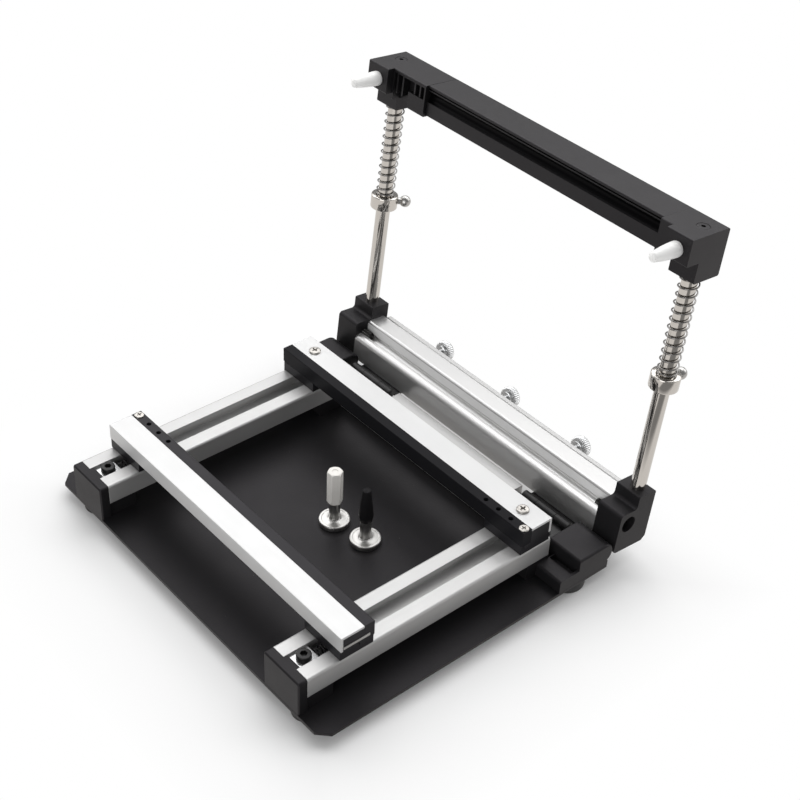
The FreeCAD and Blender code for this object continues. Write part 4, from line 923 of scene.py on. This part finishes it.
feet = {"height": 5.0, "edge": 0.8, "edgeSteps": 6, "segments": 48,
        "places": ((68.0, 3.2, 5.6), (77.8, 121.0, 7.5))}  # across, back, radius
footMeshes = []
for x, y, radius in feet["places"]:
    low = flipped(rounded(radius, feet["height"], feet["edge"], feet["edgeSteps"]), feet["height"] / 2)
    outline = [(0, 0)] + low + [(radius, feet["height"]), (0, feet["height"])]
    for side in bothSides:
        space = baseSpace @ Matrix.Translation((side * x, y, 0))
        footMeshes.append(turnedMesh(outline, space, feet["segments"]))
addPiece("round_feet", together(footMeshes), "base", "rubber", "rubber", "rubber_feet")
print("pegs, pillars and feet made")


# Floor, lamps and camera

floorLook = {"half": 3.0, "white": rgb(0.86, 0.86, 0.86), "rough": 0.9, "ownLight": 0.04,
             "shadowReach": 0.05, "mirrored": 0.9, "mirroredLight": 0.85, "warm": rgb(1.0, 0.975, 0.95),
             "towards": (0.743, -0.669), "across": (0.669, 0.743), "darkFrom": 0.09, "darkSoft": 0.05,
             "darkMiddle": 0.145, "darkHalf": 0.155, "darkEdge": 0.02, "darkDepth": 0.78}
plateLow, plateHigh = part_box("base_plate")


def backdropMaterial():
    material = bpy.data.materials.new("paleFloor")
    material.use_nodes = True
    graph = Graph(material.node_tree)
    surface = material.node_tree.nodes["Principled BSDF"]
    surface.inputs["Base Color"].default_value = floorLook["white"]
    surface.inputs["Roughness"].default_value = floorLook["rough"]
    ray = graph.add("ShaderNodeLightPath", output="Is Camera Ray")
    glossy = Value(graph, ray.socket.node.outputs["Is Glossy Ray"])
    clear = Value(graph, ray.socket.node.outputs["Is Transmission Ray"])
    spot = graph.add("ShaderNodeSeparateXYZ", {}, [graph.add("ShaderNodeTexCoord", output="Object")])
    beside = Value(graph, spot.socket.node.outputs[1])
    towards = spot * floorLook["towards"][0] + beside * floorLook["towards"][1]
    across = spot * floorLook["across"][0] + beside * floorLook["across"][1] - floorLook["darkMiddle"]

    def within(value):
        return value.maths("MAXIMUM", 0.0).maths("MINIMUM", 1.0)

    # painted reflection: glossy rays see the floor between the machine and the camera darkened, in place of
    # a dark studio, so the polished rods mirror a dark stripe
    far = within((towards - floorLook["darkFrom"]) / floorLook["darkSoft"])
    wide = within((floorLook["darkHalf"] - across.maths("ABSOLUTE")) / floorLook["darkEdge"])
    dark = 1.0 - far * wide * floorLook["darkDepth"]
    # the floor's own light fades in beside the base plate, so that the shadow stays dark next to it
    awayX = spot.maths("ABSOLUTE") - plateHigh.x
    awayY = (plateLow.y - beside).maths("MAXIMUM", beside - plateHigh.y)
    away = within(awayX.maths("MAXIMUM", awayY) / floorLook["shadowReach"])
    ownLight = away * (1.0 - floorLook["ownLight"]) + floorLook["ownLight"]
    seen = (ray + clear) * ownLight + glossy * floorLook["mirrored"]
    light = ray + clear + glossy * dark * floorLook["mirroredLight"]
    colour = graph.mixed(light, rgb(0, 0, 0), graph.mixed(glossy, rgb(1, 1, 1), floorLook["warm"]))
    glow = graph.add("ShaderNodeEmission", {}, [colour, 1.0])
    both = graph.add("ShaderNodeMixShader", {}, [seen, Value(graph, surface.outputs[0]), glow])
    graph.feed(material.node_tree.nodes["Material Output"].inputs["Surface"], both)
    return material


floorMesh = bpy.data.meshes.new("floor")
reach = floorLook["half"]
floorMesh.from_pydata([(-reach, -reach, 0), (reach, -reach, 0), (reach, reach, 0), (-reach, reach, 0)], [],
                      [(0, 1, 2, 3)])
floorMesh.materials.append(backdropMaterial())
floor = bpy.data.objects.new("floor", floorMesh)
bpy.context.scene.collection.objects.link(floor)

skyLight = {"lighting": 0.28, "seen": 1.0}
world = bpy.data.worlds.new("studio")
bpy.context.scene.world = world
world.use_nodes = True
sky = Graph(world.node_tree)
background = world.node_tree.nodes["Background"]
worldRay = sky.add("ShaderNodeLightPath", output="Is Camera Ray")
background.inputs["Color"].default_value = rgb(1, 1, 1)
sky.feed(background.inputs["Strength"],
         worldRay * (skyLight["seen"] - skyLight["lighting"]) + skyLight["lighting"])

lamps = [  # name, place, size, power; each looks at the middle of the machine
    ("overhead", (-0.35, 0.4, 0.9), 1.2, 10.4),
    ("leftPanel", (-0.95, -0.25, 0.55), 0.7, 3.5),
    ("rearPanel", (0.35, 1.0, 0.6), 0.8, 4.0),
    ("frontFill", (0.45, -0.95, 0.35), 0.7, 4.0),
]
lookedAt = Vector((0, 0, 0.04))
for name, place, size, power in lamps:
    lamp = bpy.data.lights.new(name, "AREA")
    lamp.shape = "SQUARE"
    lamp.size = size
    lamp.energy = power
    holder = bpy.data.objects.new(name, lamp)
    holder.location = place
    holder.rotation_euler = (lookedAt - Vector(place)).to_track_quat("-Z", "Y").to_euler()
    bpy.context.scene.collection.objects.link(holder)

cameraView = {"place": (353.72, -301.87, 416.02), "right": (0.6693, 0.7430, 0.0),
              "up": (-0.4533, 0.4083, 0.7923), "back": (0.5888, -0.5302, 0.6101), "roll": 2.88,
              "lens": 69.57, "sensor": 36.0}
roll = math.radians(cameraView["roll"])
right, up, back = (Vector(cameraView[key]) for key in ("right", "up", "back"))
rolledRight = right * math.cos(roll) + up * math.sin(roll)
rolledUp = up * math.cos(roll) - right * math.sin(roll)
turnTo = Matrix((rolledRight, rolledUp, back)).transposed().to_4x4()
lens = bpy.data.cameras.new("photoView")
lens.lens = cameraView["lens"]
lens.sensor_width = cameraView["sensor"]
lens.sensor_fit = "HORIZONTAL"
camera = bpy.data.objects.new("photoView", lens)
camera.matrix_world = Matrix.Translation(Vector(cameraView["place"]) * mm) @ turnTo
bpy.context.scene.collection.objects.link(camera)
bpy.context.scene.camera = camera
bpy.context.scene.view_settings.view_transform = "Standard"
print("floor, lamps and camera placed")
